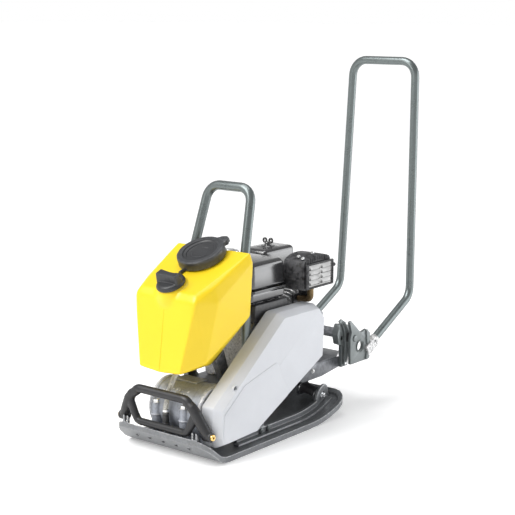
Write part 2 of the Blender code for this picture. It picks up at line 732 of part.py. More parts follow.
def crankcase():
    base = DECK_TOP + GAP
    outline = [(-0.035, base), (0.149, base), (0.149, 0.2245), (0.1235, 0.280), (-0.015, 0.280), (-0.035, 0.260)]
    case = slab("crankcase", [outline], "X", -0.072, 0.078, "aluminium")
    boss_end = along_x(CRANK_AXIS, 0.0950)
    join(case, rod("crank_boss", along_x(CRANK_AXIS, 0.070), boss_end, 0.034, sides=28))
    join(case, block("tank_stay_front", (-0.050, -0.030, 0.270), (0.050, -0.022, 0.3290)),
         block("throttle_post", (-0.030, 0.0930, 0.270), (-0.012, 0.1000, 0.3400)))
    cut(case, rod("crank_chamber", along_x(CRANK_AXIS, -0.045), along_x(CRANK_AXIS, 0.045), 0.046, sides=28),
        rod("crank_bore", along_x(CRANK_AXIS, -0.10), along_x(CRANK_AXIS, 0.12), SHAFT_RADIUS + 0.0010, sides=20))
    return case


def engine_cylinder():
    """The barrel lies back at an angle. Its fins stand square to its axis."""
    barrel = block("engine_cylinder", (-0.040, CYLINDER_START, -0.040), (0.044, CYLINDER_END, 0.040), "aluminium",
                   matrix=CYLINDER_FRAME)
    for index in range(7):
        y = CYLINDER_START + 0.007 + index * 0.0118
        join(barrel, block(f"fin_{index}", (-0.052, y, -0.050), (0.056, y + 0.0032, 0.050), matrix=CYLINDER_FRAME))
    return barrel


def valve_cover():
    return block("valve_cover", (-0.040, CYLINDER_END + GAP, -0.036), (0.022, CYLINDER_END + 0.036, 0.036),
                 "aluminium", rounding=0.006, matrix=CYLINDER_FRAME)


def spark_plug():
    profile = [(0.0, 0.046), (0.0065, 0.046), (0.0085, 0.040), (0.0085, 0.018), (0.0055, 0.014), (0.0055, 0.008),
               (0.0090, 0.008), (0.0090, 0.0), (0.0, 0.0)]
    direction = CYLINDER_FRAME.to_3x3() @ Vector((0.0, 1.0, 0.0))
    origin = CYLINDER_FRAME @ Vector((0.036, CYLINDER_END + GAP, 0.012))
    return lathe("spark_plug", profile, origin, direction, "black_plastic", steps=16)


def crank_train():
    shaft = rod("crankshaft", along_x(CRANK_AXIS, -0.1280), along_x(CRANK_AXIS, 0.1460), SHAFT_RADIUS, "steel",
                sides=20)
    sweep = [math.pi + math.pi * step / 10 for step in range(11)]
    web = [(CRANK_Y + 0.040 * math.cos(turn), CRANK_Z + 0.040 * math.sin(turn)) for turn in sweep]
    join(shaft, slab("crank_web", [web], "X", -0.020, 0.020))
    fan = [(SHAFT_RADIUS + GAP, -0.088), (0.066, -0.088), (0.066, -0.100), (0.050, -0.118),
           (SHAFT_RADIUS + GAP, -0.118)]
    flywheel = lathe("flywheel_fan", list(reversed([(radius, -x) for radius, x in fan])), CRANK_AXIS, (-1, 0, 0),
                     "aluminium", steps=32, ring=True)
    clutch = pulley("centrifugal_clutch", CRANK_AXIS, CLUTCH_PULLEY_RADIUS, SHAFT_RADIUS + GAP, "steel", drum=0.034)
    keep_under(joint_empty("crank_axis", CRANK_AXIS), shaft, flywheel, clutch)


def blower_housing():
    """The recoil starter's cover over the fan: a cup that is open towards the crankcase."""
    profile = [(0.0, 0.1420), (0.040, 0.1420), (0.062, 0.1360), (0.080, 0.1180), (0.084, 0.0780), (0.081, 0.0780),
               (0.077, 0.1160), (0.060, 0.1330), (0.0, 0.1330)]
    housing = lathe("blower_housing", profile, CRANK_AXIS, (-1, 0, 0), "light_grey_plastic", steps=36)
    spout = rod("rope_spout", (-0.1020, 0.020, 0.2770), (-0.1180, 0.013, 0.2990), 0.0110, sides=16)
    return join(housing, spout)


ROPE_START = Vector((-0.1180, 0.0130, 0.2990))
ROPE_WAY = Vector((-0.60, -0.20, 0.775)).normalized()


def starter():
    start = ROPE_START + ROPE_WAY * 0.0030
    rope_end = start + ROPE_WAY * 0.0080
    rod("starter_rope", start, rope_end, 0.0022, "rubber", sides=8)
    profile = [(0.0, 0.017), (0.010, 0.016), (0.0125, 0.010), (0.0125, 0.004), (0.008, 0.0), (0.0, 0.0)]
    grip = lathe("starter_grip", profile, rope_end + ROPE_WAY * GAP, ROPE_WAY, "black_plastic", steps=16)
    wide = (ROPE_WAY.cross(Vector((0, 1, 0)))).normalized()
    middle = rope_end + ROPE_WAY * 0.011
    return join(grip, rod("grip_bar", middle - wide * 0.024, middle + wide * 0.024, 0.0085, sides=16))


def fuel_tank():
    tank = block("fuel_tank", (-0.084, -0.044, 0.3600), (0.088, 0.092, 0.4260), "black_gloss", rounding=0.009)
    join(tank, block("tank_seam", (-0.087, -0.0455, 0.3560), (0.0905, 0.0940, 0.3612)),
         block("tank_lower", (-0.080, -0.042, 0.3295), (0.084, 0.088, 0.3580)),
         rod("fuel_neck", (-0.030, 0.012, 0.4200), (-0.030, 0.012, 0.4300), 0.018))
    return cut(tank, block("fuel_space", (-0.077, -0.039, 0.3325), (0.081, 0.085, 0.4225)),
               rod("fuel_bore", (-0.030, 0.012, 0.4100), (-0.030, 0.012, 0.4400), 0.014))


def fuel_cap():
    profile = [(0.0, 0.0140), (0.0220, 0.0140), (0.0245, 0.0115), (0.0245, 0.0), (0.0, 0.0)]
    return lathe("fuel_cap", profile, (-0.030, 0.012, 0.4300 + GAP), (0, 0, 1), "black_plastic", steps=24)


def air_cleaner():
    block("air_cleaner_base", (-0.088, 0.122, 0.3560), (-0.006, 0.246, 0.3720), "black_plastic", rounding=0.004)
    cover = block("air_cleaner_cover", (-0.088, 0.122, 0.3723), (-0.006, 0.246, 0.4280), "black_plastic",
                  rounding=0.008)
    cut(cover, block("cover_inside", (-0.084, 0.126, 0.3600), (-0.010, 0.242, 0.4230)),
        rod("cover_bore", (-0.047, 0.184, 0.40), (-0.047, 0.184, 0.44), 0.0040, sides=12))
    element = block("air_filter_element", (-0.078, 0.134, 0.3723), (-0.016, 0.234, 0.4180), "rubber",
                    rounding=0.006)
    cut(element, rod("stud_bore", (-0.047, 0.184, 0.35), (-0.047, 0.184, 0.44), 0.0050, sides=12))
    profile = [(0.0, 0.0160), (0.0060, 0.0160), (0.0075, 0.0130), (0.0105, 0.0), (0.0032, 0.0), (0.0032, -0.0540),
               (0.0, -0.0540)]
    nut = lathe("air_cleaner_wing_nut", profile, (-0.047, 0.184, 0.4280 + GAP), (0, 0, 1), "black_plastic", steps=16)
    return join(nut, block("nut_wings", (-0.063, 0.1815, 0.4340), (-0.031, 0.1865, 0.4470)))


def carburettor():
    return block("carburettor", (-0.088, 0.1300, 0.3120), (-0.055, 0.1700, 0.3557), "aluminium", rounding=0.004)


def lever(name, axis, pivot, tip, half_thickness, width, look):
    """A flat lever with round ends, turning about the pivot. Points are in the plane square to the axis."""
    start, end = Vector(pivot), Vector(tip)
    way = math.atan2((end - start).y, (end - start).x)
    turns = [math.pi * step / 6 for step in range(7)]
    outline = [(start.x + width * math.cos(way + math.pi / 2 + turn),
                start.y + width * math.sin(way + math.pi / 2 + turn)) for turn in turns]
    outline += [(end.x + 0.8 * width * math.cos(way - math.pi / 2 + turn),
                 end.y + 0.8 * width * math.sin(way - math.pi / 2 + turn)) for turn in turns]
    return slab(name, [outline], axis[0], axis[1] - half_thickness, axis[1] + half_thickness, look)


def engine_controls():
    levers = {
        "throttle_lever": (("Y", 0.1018), (-0.021, 0.331), (-0.021, 0.392), 0.0015, 0.0060, (-0.021, 0.1018, 0.331)),
        "choke_lever": (("X", -0.0900), (0.150, 0.341), (0.182, 0.345), 0.0015, 0.0050, (-0.0900, 0.150, 0.341)),
        "fuel_valve_lever": (("X", -0.0900), (0.150, 0.315), (0.182, 0.311), 0.0015, 0.0050, (-0.0900, 0.150, 0.315)),
    }
    for name, (axis, pivot, tip, half, width, place) in levers.items():
        made = lever(name, axis, pivot, tip, half, width, "black_plastic")
        keep_under(joint_empty(name + "_axis", Vector(place)), made)
    switch = rod("engine_switch", (-0.020, -0.0353, 0.236), (-0.020, -0.0460, 0.236), 0.0100, "black_plastic", sides=20)
    join(switch, block("switch_bar", (-0.0225, -0.0500, 0.2275), (-0.0175, -0.0440, 0.2445)))
    profile = [(0.0, 0.012), (0.012, 0.012), (0.014, 0.010), (0.014, 0.0), (0.0, 0.0)]
    lathe("oil_filler_cap", profile, (0.045, -0.0353, 0.165), (0, -1, 0), "black_plastic", steps=16)


def muffler():
    body = block("muffler_body", (0.0660, 0.1020, 0.3450), (0.1330, 0.2120, 0.4180), "black_gloss", rounding=0.006)
    sweep = [math.pi * step / 10 for step in range(11)]
    dome = [(0.157 + 0.053 * math.cos(turn), 0.408 + 0.021 * math.sin(turn)) for turn in sweep]
    join(body, slab("muffler_dome", [dome], "X", 0.0680, 0.1310))
    cut(body, block("muffler_space", (0.0685, 0.1045, 0.3475), (0.1305, 0.2095, 0.4150)),
        rod("muffler_inlet", (0.1060, 0.1610, 0.3400), (0.1060, 0.1610, 0.3550), 0.0065))
    outline = [(0.1050, 0.3480), (0.2140, 0.3480), (0.2140, 0.4100), (0.1050, 0.4100)]
    guard = slab("muffler_guard", [outline], "X", 0.1333, 0.1400, "steel")
    for row in range(4):
        z = 0.3560 + row * 0.0135
        for column in range(2):
            y = 0.1110 + column * 0.0520
            cut(guard, block(f"louvre_{row}_{column}", (0.120, y, z), (0.150, y + 0.040, z + 0.0045)))
    pipe = rounded([(0.0660, 0.1660, 0.3080), (0.0840, 0.1640, 0.3110), (0.1060, 0.1610, 0.3125),
                    (0.1060, 0.1610, 0.3446)], [0, 0.02, 0.012, 0], closed=False)
    tube("exhaust_pipe", pipe, 0.0080, "heat_tinted_steel", resolution=3)
    return body, guard


# Guide handle --------------------------------------------------------------------------------------


def bracket_outline():
    """The handle's side plate: a raised nose, a notch, a rear edge with a toe and a straight front."""
    points = [(0.3175, 0.1130), (0.3850, 0.1130), (0.3990, 0.1160), (0.4020, 0.1300), (0.3960, 0.1400),
              (0.4010, 0.1550), (0.4010, 0.1830), (0.3880, 0.1960), (0.3640, 0.1900), (0.3200, 0.2290),
              (0.3125, 0.2260), (0.3225, 0.1980), (0.3165, 0.1800)]
    return rounded(points, 0.0025, steps=2)


def guide_handle():
    half = [SOCKET, HANDLE_BEND, HANDLE_TOP]
    path = half + [(-x, y, z) for x, y, z in reversed(half)]
    points = rounded(path, [0, 0.045, 0.043, 0.043, 0.045, 0], steps=6, closed=False)
    tilt = math.atan2(HANDLE_BEND[2] - SOCKET[2], HANDLE_BEND[1] - SOCKET[1])
    handle = tube("guide_handle", points, HANDLE_RADIUS, "handle_grey", resolution=4, solid=True)
    for side, hand in ((1, "right"), (-1, "left")):
        low, high = sorted((side * BRACKET_START, side * BRACKET_END))
        plate = slab(f"bracket_{hand}", [bracket_outline()], "X", low, high)
        cut(plate, rod(f"bracket_hole_{hand}", (low - 0.01, 0.360, 0.1550), (high + 0.01, 0.360, 0.1550), 0.0125))
        place = Matrix.Translation((side * SOCKET[0], *SOCKET[1:])) @ Matrix.Rotation(tilt, 4, "X")
        socket = block(f"socket_{hand}", (-0.0112, -0.010, -0.0150), (0.0112, 0.036, 0.0135), matrix=place)
        join(handle, plate, socket)
    return handle


def hinge_axle():
    """The cross tube, the bored cheek at each end and the strut that stands each cheek on the console."""
    axle = rod("hinge_axle", (-0.0820, 0.3300, 0.1880), (0.0820, 0.3300, 0.1880), 0.0130, "frame_grey", sides=24)
    cheek = rounded([(0.2960, 0.1680), (0.3220, 0.1580), (0.3560, 0.1620), (0.3580, 0.1950), (0.3420, 0.2120),
                     (0.3000, 0.2210), (0.2890, 0.1950)], 0.006, steps=2)
    for side, hand in ((1, "right"), (-1, "left")):
        low, high = sorted((side * 0.0800, side * 0.0980))
        plate = slab(f"cheek_{hand}", [cheek], "X", low, high)
        low, high = sorted((side * 0.0855, side * 0.0950))
        strut = slab(f"strut_{hand}", [[(0.312, 0.1040), (0.338, 0.1040), (0.338, 0.1700), (0.312, 0.1700)]], "X", low,
                     high)
        join(axle, plate, strut)
        low, high = sorted((side * 0.0860, side * 0.1200))
        cut(axle, rod(f"pin_bore_{hand}", (low, PIVOT_Y, PIVOT_Z), (high, PIVOT_Y, PIVOT_Z), 0.0070, sides=20))
    cut(axle, rod("cheek_hole", (0.0880, 0.3090, 0.1830), (0.1200, 0.3090, 0.1830), 0.0060, sides=16))
    return axle


def pivot_pin(hand, side):
    start = (side * 0.0870, PIVOT_Y, PIVOT_Z)
    end = (side * (BRACKET_START - GAP), PIVOT_Y, PIVOT_Z)
    return rod(f"pivot_pin_{hand}", start, end, 0.0065, "steel", sides=20)


def handle_latch():
    """A curved catch beside the right cheek, hooked over the cheek's nose."""
    outer = [(0.3130, 0.1080), (0.3270, 0.1080), (0.3320, 0.1400), (0.3340, 0.1600), (0.3260, 0.1700),
             (0.3240, 0.1900), (0.3290, 0.2000), (0.3180, 0.2240), (0.3000, 0.2350), (0.2890, 0.2310),
             (0.2950, 0.2240), (0.3050, 0.2190), (0.3150, 0.1950), (0.3180, 0.1650), (0.3170, 0.1400)]
    latch = slab("handle_latch", [rounded(outer, 0.0015, steps=1)], "X", 0.0985, 0.1035, "handle_grey")
    return latch


# Joint frames --------------------------------------------------------------------------------------


def joint_empty(name, place):
    empty = bpy.data.objects.new(name, None)
    empty.location = place
    PARTS.objects.link(empty)
    return empty


def keep_under(empty, *objects):
    """Parents objects, and whatever shapes their Booleans use, without moving them."""
    bpy.context.view_layer.update()
    tools = [modifier.object for obj in objects for modifier in obj.modifiers if modifier.type == "BOOLEAN"]
    for obj in [*objects, *tools]:
        obj.parent = empty
        obj.matrix_parent_inverse = empty.matrix_world.inverted()


def moving_groups():
    keep_under(joint_empty("lid_axis", LID_CENTRE), tank_lid())
    keep_under(joint_empty("knob_axis", KNOB_CENTRE), water_valve_knob())
    keep_under(joint_empty("starter_axis", ROPE_START), starter())
    keep_under(joint_empty("handle_axis", Vector((0.0, PIVOT_Y, PIVOT_Z))), guide_handle(),
               pivot_pin("left", -1), pivot_pin("right", 1))
    keep_under(joint_empty("latch_axis", Vector((0.101, 0.3200, 0.1145))), handle_latch())


clear_scene()
PARTS = new_collection("plate_compactor")
TOOLS = new_collection("cutters")
base_plate()
exciter_group()
v_belt()
belt_guard()
engine_console()
for mount_end in MOUNT_Y:
    rubber_mount(mount_end, "left", -1)
    rubber_mount(mount_end, "right", 1)
lifting_bail()
water_tank()
front_handle()
water_feed()
crankcase()
engine_cylinder()
valve_cover()
spark_plug()
crank_train()
blower_housing()
fuel_tank()
fuel_cap()
air_cleaner()
carburettor()
engine_controls()
muffler()
hinge_axle()
moving_groups()
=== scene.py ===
"""Looks of the plate compactor: camera, studio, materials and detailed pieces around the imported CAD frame.
Metres, +Z up. The front lip faces -Y, the guide handle is at +Y and the belt drive is at +X."""

import json
import math

import bmesh
import bpy
from mathutils import Matrix, Vector


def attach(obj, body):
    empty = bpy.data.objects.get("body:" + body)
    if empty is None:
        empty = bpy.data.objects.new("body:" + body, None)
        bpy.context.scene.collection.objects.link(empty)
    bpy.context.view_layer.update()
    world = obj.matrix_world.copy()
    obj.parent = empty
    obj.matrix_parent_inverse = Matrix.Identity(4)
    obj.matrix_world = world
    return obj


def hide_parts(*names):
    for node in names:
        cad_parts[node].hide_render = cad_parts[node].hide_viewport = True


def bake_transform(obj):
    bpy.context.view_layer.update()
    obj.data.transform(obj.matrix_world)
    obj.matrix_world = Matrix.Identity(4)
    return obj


# The camera's place and lens, fitted to the photograph.
LENS = 92.49
CAMERA_PLACE = (2.0159, -2.4021, 1.0251)
CAMERA_DOWN = 10.777
CAMERA_ROUND = 39.036

UP = (0, 0, 1)
RIGHT = (1, 0, 0)
FINE = 0.00001

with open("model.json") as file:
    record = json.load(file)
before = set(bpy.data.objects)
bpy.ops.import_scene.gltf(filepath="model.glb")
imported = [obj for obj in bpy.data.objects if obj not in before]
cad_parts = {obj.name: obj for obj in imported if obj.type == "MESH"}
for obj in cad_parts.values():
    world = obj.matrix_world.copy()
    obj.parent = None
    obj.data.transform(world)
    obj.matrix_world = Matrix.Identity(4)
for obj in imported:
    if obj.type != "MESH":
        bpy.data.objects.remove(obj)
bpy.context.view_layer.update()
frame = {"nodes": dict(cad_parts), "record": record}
NODES = frame["nodes"]
BODY = {node: body for body, nodes in frame["record"]["behaviour"]["bodies"].items() for node in nodes}

# Camera ----------------------------------------------------------------------------------------------


def make_camera():
    data = bpy.data.cameras.new("camera")
    data.lens = LENS
    data.sensor_width = 36.0
    camera = bpy.data.objects.new("camera", data)
    camera.location = CAMERA_PLACE
    camera.rotation_euler = (math.radians(90 - CAMERA_DOWN), 0.0, math.radians(CAMERA_ROUND))
    bpy.context.scene.collection.objects.link(camera)
    bpy.context.scene.camera = camera


def link(obj):
    bpy.context.scene.collection.objects.link(obj)
    return obj


# Materials -------------------------------------------------------------------------------------------


class Graph:
    """A small builder for one material's nodes."""

    def __init__(self, name):
        self.material = bpy.data.materials.new(name)
        self.material.use_nodes = True
        self.tree = self.material.node_tree
        self.shader = self.tree.nodes["Principled BSDF"]
        self.place = self.add("ShaderNodeTexCoord").outputs["Object"]

    def add(self, kind, **settings):
        node = self.tree.nodes.new(kind)
        for key, value in settings.items():
            setattr(node, key, value)
        return node

    def join(self, output, target):
        self.tree.links.new(output, target)

    def noise(self, scale, detail=3.0, rough=0.55, stretch=None):
        node = self.add("ShaderNodeTexNoise")
        node.inputs["Scale"].default_value = scale
        node.inputs["Detail"].default_value = detail
        node.inputs["Roughness"].default_value = rough
        source = self.place
        if stretch:
            mapping = self.add("ShaderNodeMapping")
            mapping.inputs["Scale"].default_value = stretch
            self.join(self.place, mapping.inputs["Vector"])
            source = mapping.outputs["Vector"]
        self.join(source, node.inputs["Vector"])
        return node.outputs["Fac"]

    def remap(self, value, low, high, to_low=0.0, to_high=1.0):
        node = self.add("ShaderNodeMapRange")
        for key, number in (("From Min", low), ("From Max", high), ("To Min", to_low), ("To Max", to_high)):
            node.inputs[key].default_value = number
        self.join(value, node.inputs["Value"])
        return node.outputs["Result"]

    def maths(self, kind, first, second):
        node = self.add("ShaderNodeMath", operation=kind)
        for socket, value in zip(node.inputs, (first, second)):
            if isinstance(value, float):
                socket.default_value = value
            else:
                self.join(value, socket)
        return node.outputs[0]

    def mix(self, factor, first, second):
        node = self.add("ShaderNodeMix", data_type="RGBA")
        self.join(factor, node.inputs["Factor"])
        for socket, value in ((node.inputs[6], first), (node.inputs[7], second)):
            if isinstance(value, tuple):
                socket.default_value = (*value, 1.0)
            else:
                self.join(value, socket)
        return node.outputs[2]

    def bump(self, heights):
        """heights is a list of (height, strength, distance)."""
        normal = None
        for height, strength, distance in heights:
            node = self.add("ShaderNodeBump")
            node.inputs["Strength"].default_value = strength
            node.inputs["Distance"].default_value = distance
            self.join(height, node.inputs["Height"])
            if normal:
                self.join(normal, node.inputs["Normal"])
            normal = node.outputs["Normal"]
        self.join(normal, self.shader.inputs["Normal"])

    def edges(self, low, high):
        return self.remap(self.add("ShaderNodeNewGeometry").outputs["Pointiness"], low, high)


def shade(colour, factor):
    return tuple(min(1.0, part * factor) for part in colour)


def finish(name, colour, rough, metallic=0.0, vary=0.08, blotch=28.0, grain=1400.0, grain_depth=0.00005,
        grain_strength=0.3, orange_peel=0.0, rough_vary=0.08, coat=0.0, coat_rough=0.1, edge_wear_and_highlight=None, corner_shade=0.25,
        specular=0.5):
    """A painted, cast or moulded surface: blotches of tone, a fine grain, lighter edges that are partly wear
    and partly painted highlight, and painted shade darkening the concave corners.
    """
    g = Graph(name)
    blotches = g.noise(blotch, 4.0, 0.6)
    fine = g.noise(grain, 2.0, 0.6)
    colours = g.mix(g.remap(blotches, 0.3, 0.7), shade(colour, 1.0 - vary), shade(colour, 1.0 + vary))
    # Painted shade: the concave corners are darkened towards a quarter of the colour.
    if corner_shade:
        corner = g.maths("MULTIPLY", g.edges(0.497, 0.47), corner_shade)
        colours = g.mix(corner, colours, shade(colour, 0.25))
    # Lighter convex edges in patches: partly wear, partly a painted highlight on the rounded edges.
    if edge_wear_and_highlight:
        worn_and_lit_edges = g.maths("MULTIPLY", g.edges(0.515, 0.56), g.remap(g.noise(90.0), 0.25, 0.6))
        colours = g.mix(worn_and_lit_edges, colours, edge_wear_and_highlight)
    g.join(colours, g.shader.inputs["Base Color"])
    uneven = g.maths("ADD", g.maths("MULTIPLY", blotches, 0.6), g.maths("MULTIPLY", fine, 0.4))
    g.join(g.remap(uneven, 0.3, 0.7, rough - rough_vary, rough + rough_vary), g.shader.inputs["Roughness"])
    heights = [(fine, grain_strength, grain_depth)]
    if orange_peel:
        heights.append((g.noise(260.0, 1.0), orange_peel, 0.0004))
    g.bump(heights)
    g.shader.inputs["Metallic"].default_value = metallic
    g.shader.inputs["Coat Weight"].default_value = coat
    g.shader.inputs["Coat Roughness"].default_value = coat_rough
    g.shader.inputs["Specular IOR Level"].default_value = specular
    return g.material


def cast_metal(name, colour, rough, metallic, pit=0.5, edge_wear_and_highlight=None, depth=0.0005):
    """Sand-cast metal: lumpy on two scales with small pits."""
    g = Graph(name)
    lumps = g.noise(170.0, 5.0, 0.65)
    fine = g.noise(900.0, 3.0, 0.7)
    blotches = g.noise(22.0, 4.0, 0.6)
    cells = g.add("ShaderNodeTexVoronoi")
    cells.inputs["Scale"].default_value = 420.0
    g.join(g.place, cells.inputs["Vector"])
    pits = g.remap(cells.outputs["Distance"], 0.0, 0.35)
    colours = g.mix(g.remap(blotches, 0.3, 0.7), shade(colour, 0.86), shade(colour, 1.12))
    colours = g.mix(g.maths("MULTIPLY", g.remap(lumps, 0.55, 0.35), 0.35), colours, shade(colour, 0.45))
    # Painted shade: the concave corners are darkened towards a quarter of the colour.
    colours = g.mix(g.maths("MULTIPLY", g.edges(0.497, 0.468), 0.5), colours, shade(colour, 0.25))
    # Lighter convex edges in patches: partly wear, partly a painted highlight on the rounded edges.
    if edge_wear_and_highlight:
        colours = g.mix(g.maths("MULTIPLY", g.edges(0.512, 0.55), g.remap(lumps, 0.3, 0.6)), colours, edge_wear_and_highlight)
    g.join(colours, g.shader.inputs["Base Color"])
    g.join(g.remap(fine, 0.3, 0.7, rough - 0.08, rough + 0.12), g.shader.inputs["Roughness"])
    g.bump([(lumps, 0.45, depth), (pits, pit, depth * 0.5), (fine, 0.35, depth * 0.3)])
    g.shader.inputs["Metallic"].default_value = metallic
    return g.material


def brushed(name, colour, rough, stretch=(1.0, 1.0, 60.0), edge_wear_and_highlight=None):
    """Machined or drawn metal with fine lines along one way."""
    g = Graph(name)
    lines = g.noise(40.0, 4.0, 0.7, stretch)
    blotches = g.noise(35.0, 3.0)
    colours = g.mix(g.remap(lines, 0.3, 0.7), shade(colour, 0.85), shade(colour, 1.1))
    # Painted shade: the concave corners are darkened towards a fifth of the colour.
    colours = g.mix(g.maths("MULTIPLY", g.edges(0.495, 0.465), 0.6), colours, shade(colour, 0.2))
    g.join(colours, g.shader.inputs["Base Color"])
    g.join(g.remap(blotches, 0.3, 0.7, rough - 0.07, rough + 0.1), g.shader.inputs["Roughness"])
    g.bump([(lines, 0.15, 0.0001)])
    g.shader.inputs["Metallic"].default_value = 1.0
    return g.material


def tinted_steel(name):
    """An exhaust pipe's heat tint: straw to brown along its height."""
    g = Graph(name)
    split = g.add("ShaderNodeSeparateXYZ")
    g.join(g.place, split.inputs["Vector"])
    height = g.remap(split.outputs["Z"], 0.315, 0.345)
    blotches = g.noise(80.0, 4.0)
    colours = g.mix(g.maths("MULTIPLY", height, blotches), (0.16, 0.115, 0.06), (0.34, 0.25, 0.12))
    g.join(g.mix(g.remap(g.noise(400.0), 0.5, 0.7), colours, (0.1, 0.06, 0.03)), g.shader.inputs["Base Color"])
    g.join(g.remap(blotches, 0.3, 0.7, 0.35, 0.6), g.shader.inputs["Roughness"])
    g.bump([(g.noise(700.0), 0.3, 0.0002)])
    g.shader.inputs["Metallic"].default_value = 0.85
    return g.material


def clear_hose(name):
    """Milky soft plastic that lets some light through."""
    g = Graph(name)
    haze = g.noise(120.0, 3.0)
    g.join(g.mix(g.remap(haze, 0.3, 0.7), (0.62, 0.6, 0.52), (0.8, 0.79, 0.74)), g.shader.inputs["Base Color"])
    g.join(g.remap(haze, 0.3, 0.7, 0.15, 0.3), g.shader.inputs["Roughness"])
    g.bump([(g.noise(300.0), 0.1, 0.0002)])
    g.shader.inputs["Transmission Weight"].default_value = 0.45
    g.shader.inputs["IOR"].default_value = 1.45
    return g.material


LOOK = {
    # The pale edge colour of cast_grey is a painted highlight on the rounded rims of the plate.
    "cast_grey": cast_metal("cast_grey_paint", (0.215, 0.222, 0.232), 0.38, 0.5, 0.2, (0.55, 0.56, 0.57),
                            0.0003),
    "frame_grey": finish("frame_grey_paint", (0.085, 0.09, 0.1), 0.36, 0.45, edge_wear_and_highlight=(0.34, 0.35, 0.37),
                         orange_peel=0.15),
    "handle_grey": finish("handle_grey_paint", (0.165, 0.188, 0.188), 0.3, 0.7, vary=0.04, orange_peel=0.06,
                          corner_shade=0.0),
    "hinge_grey": finish("hinge_grey_paint", (0.2, 0.218, 0.22), 0.38, 0.6, vary=0.06, orange_peel=0.12,
                         corner_shade=0.6),
    "aluminium": cast_metal("cast_aluminium", (0.4, 0.425, 0.48), 0.48, 0.2, 0.5, (0.8, 0.8, 0.82), 0.0005),
    "fins": cast_metal("fin_aluminium", (0.075, 0.076, 0.08), 0.45, 0.5, 0.3, (0.85, 0.85, 0.85), 0.0003),
    "steel": brushed("zinc_steel", (0.62, 0.62, 0.62), 0.3),
    "shield": brushed("shield_steel", (0.33, 0.328, 0.325), 0.44, (1.0, 1.0, 30.0)),
    "chrome": brushed("bright_zinc", (0.82, 0.83, 0.84), 0.16, (20.0, 1.0, 1.0)),
    "brass": brushed("turned_brass", (0.86, 0.6, 0.22), 0.24, (1.0, 30.0, 30.0)),
    "yellow": finish("yellow_polyethylene", (0.88, 0.635, 0.016), 0.34, vary=0.025, blotch=9.0, grain=2200.0,
                     grain_strength=0.12, orange_peel=0.1, rough_vary=0.05, corner_shade=0.12, specular=0.45),
    "light_grey": finish("light_grey_moulding", (0.6, 0.615, 0.65), 0.42, vary=0.03, blotch=12.0,
                         grain=2600.0,
                         grain_strength=0.18, rough_vary=0.05, corner_shade=0.15, orange_peel=0.08),
    "black": finish("black_moulding", (0.018, 0.018, 0.02), 0.44, vary=0.25, grain=1800.0,
                    grain_strength=0.35, specular=0.55,
                    corner_shade=0.0, edge_wear_and_highlight=(0.075, 0.076, 0.08)),
    "lid_black": finish("lid_moulding", (0.026, 0.027, 0.03), 0.4, vary=0.2, grain=1500.0, grain_strength=0.4,
                        specular=0.6,
                        corner_shade=0.0, edge_wear_and_highlight=(0.1, 0.105, 0.115)),
    "gloss": finish("gloss_black_paint", (0.02, 0.02, 0.022), 0.2, 0.0, vary=0.1, grain=900.0,
                    grain_strength=0.04,
                    rough_vary=0.04, coat=0.9, coat_rough=0.17, corner_shade=0.0, specular=0.9),
    "heat_black": finish("muffler_black", (0.008, 0.008, 0.009), 0.36, 0.0, vary=0.2, grain=700.0,
                         grain_strength=0.3,
                         edge_wear_and_highlight=(0.1, 0.1, 0.105), corner_shade=0.0, specular=0.15),
    "rubber": finish("rubber", (0.022, 0.021, 0.024), 0.58, vary=0.2, grain=1100.0, grain_strength=0.5,
                     corner_shade=0.0,
                     edge_wear_and_highlight=(0.06, 0.06, 0.062)),
    "hose": clear_hose("clear_hose"),
    "tint": tinted_steel("heat_tinted_pipe"),
}


# Shapes ----------------------------------------------------------------------------------------------


def mm(*points):
    """Points given in millimetres, in metres."""
    return [tuple(value / 1000 for value in point) for point in points]


def to_object(name, bm):
    bmesh.ops.recalc_face_normals(bm, faces=bm.faces)
    mesh = bpy.data.meshes.new(name)
    bm.to_mesh(mesh)
    bm.free()
    return link(bpy.data.objects.new(name, mesh))


def modifier(obj, kind, **settings):
    made = obj.modifiers.new(kind.lower(), kind)
    for key, value in settings.items():
        setattr(made, key, value)
    return made


def apply(obj):
    bpy.context.view_layer.update()
    graph = bpy.context.evaluated_depsgraph_get()
    mesh = bpy.data.meshes.new_from_object(obj.evaluated_get(graph))
    mesh.transform(obj.matrix_world)
    if obj.type == "MESH":
        obj.modifiers.clear()
        obj.data = mesh
        obj.matrix_world = Matrix.Identity(4)
        return obj
    name = obj.name
    bpy.data.objects.remove(obj)
    return link(bpy.data.objects.new(name, mesh))


def smooth(obj, angle=35.0):
    obj.data.shade_smooth()
    obj.data.set_sharp_from_angle(angle=math.radians(angle))
    return obj


def rounded_edges(obj, width, segments=3, angle=30.0):
    modifier(obj, "BEVEL", width=width, segments=segments, limit_method="ANGLE",
        angle_limit=math.radians(angle), use_clamp_overlap=True)
    apply(obj)
    return smooth(obj, 40.0)


def along(direction, origin):
    turn = Vector(direction).to_track_quat("Z", "Y").to_matrix().to_4x4()
    return Matrix.Translation(Vector(origin)) @ turn


def turned(origin, degrees, axis="X"):
    """The frame at origin, turned about one axis."""
    return Matrix.Translation(origin) @ Matrix.Rotation(math.radians(degrees), 4, axis)


def box(name, low, high, bevel=0.001, matrix=None, segments=3, top=1.0):
    """A box with rounded edges. top scales its upper face."""
    low, high = Vector(low), Vector(high)
    bm = bmesh.new()
    bmesh.ops.create_cube(bm, size=1.0)
    for vert in bm.verts:
        if vert.co.z > 0:
            vert.co.x *= top
            vert.co.y *= top
        vert.co = Vector([a * b for a, b in zip(vert.co, high - low)]) + (low + high) / 2
    if matrix is not None:
        bmesh.ops.transform(bm, matrix=matrix, verts=bm.verts)
    return rounded_edges(to_object(name, bm), bevel, segments)


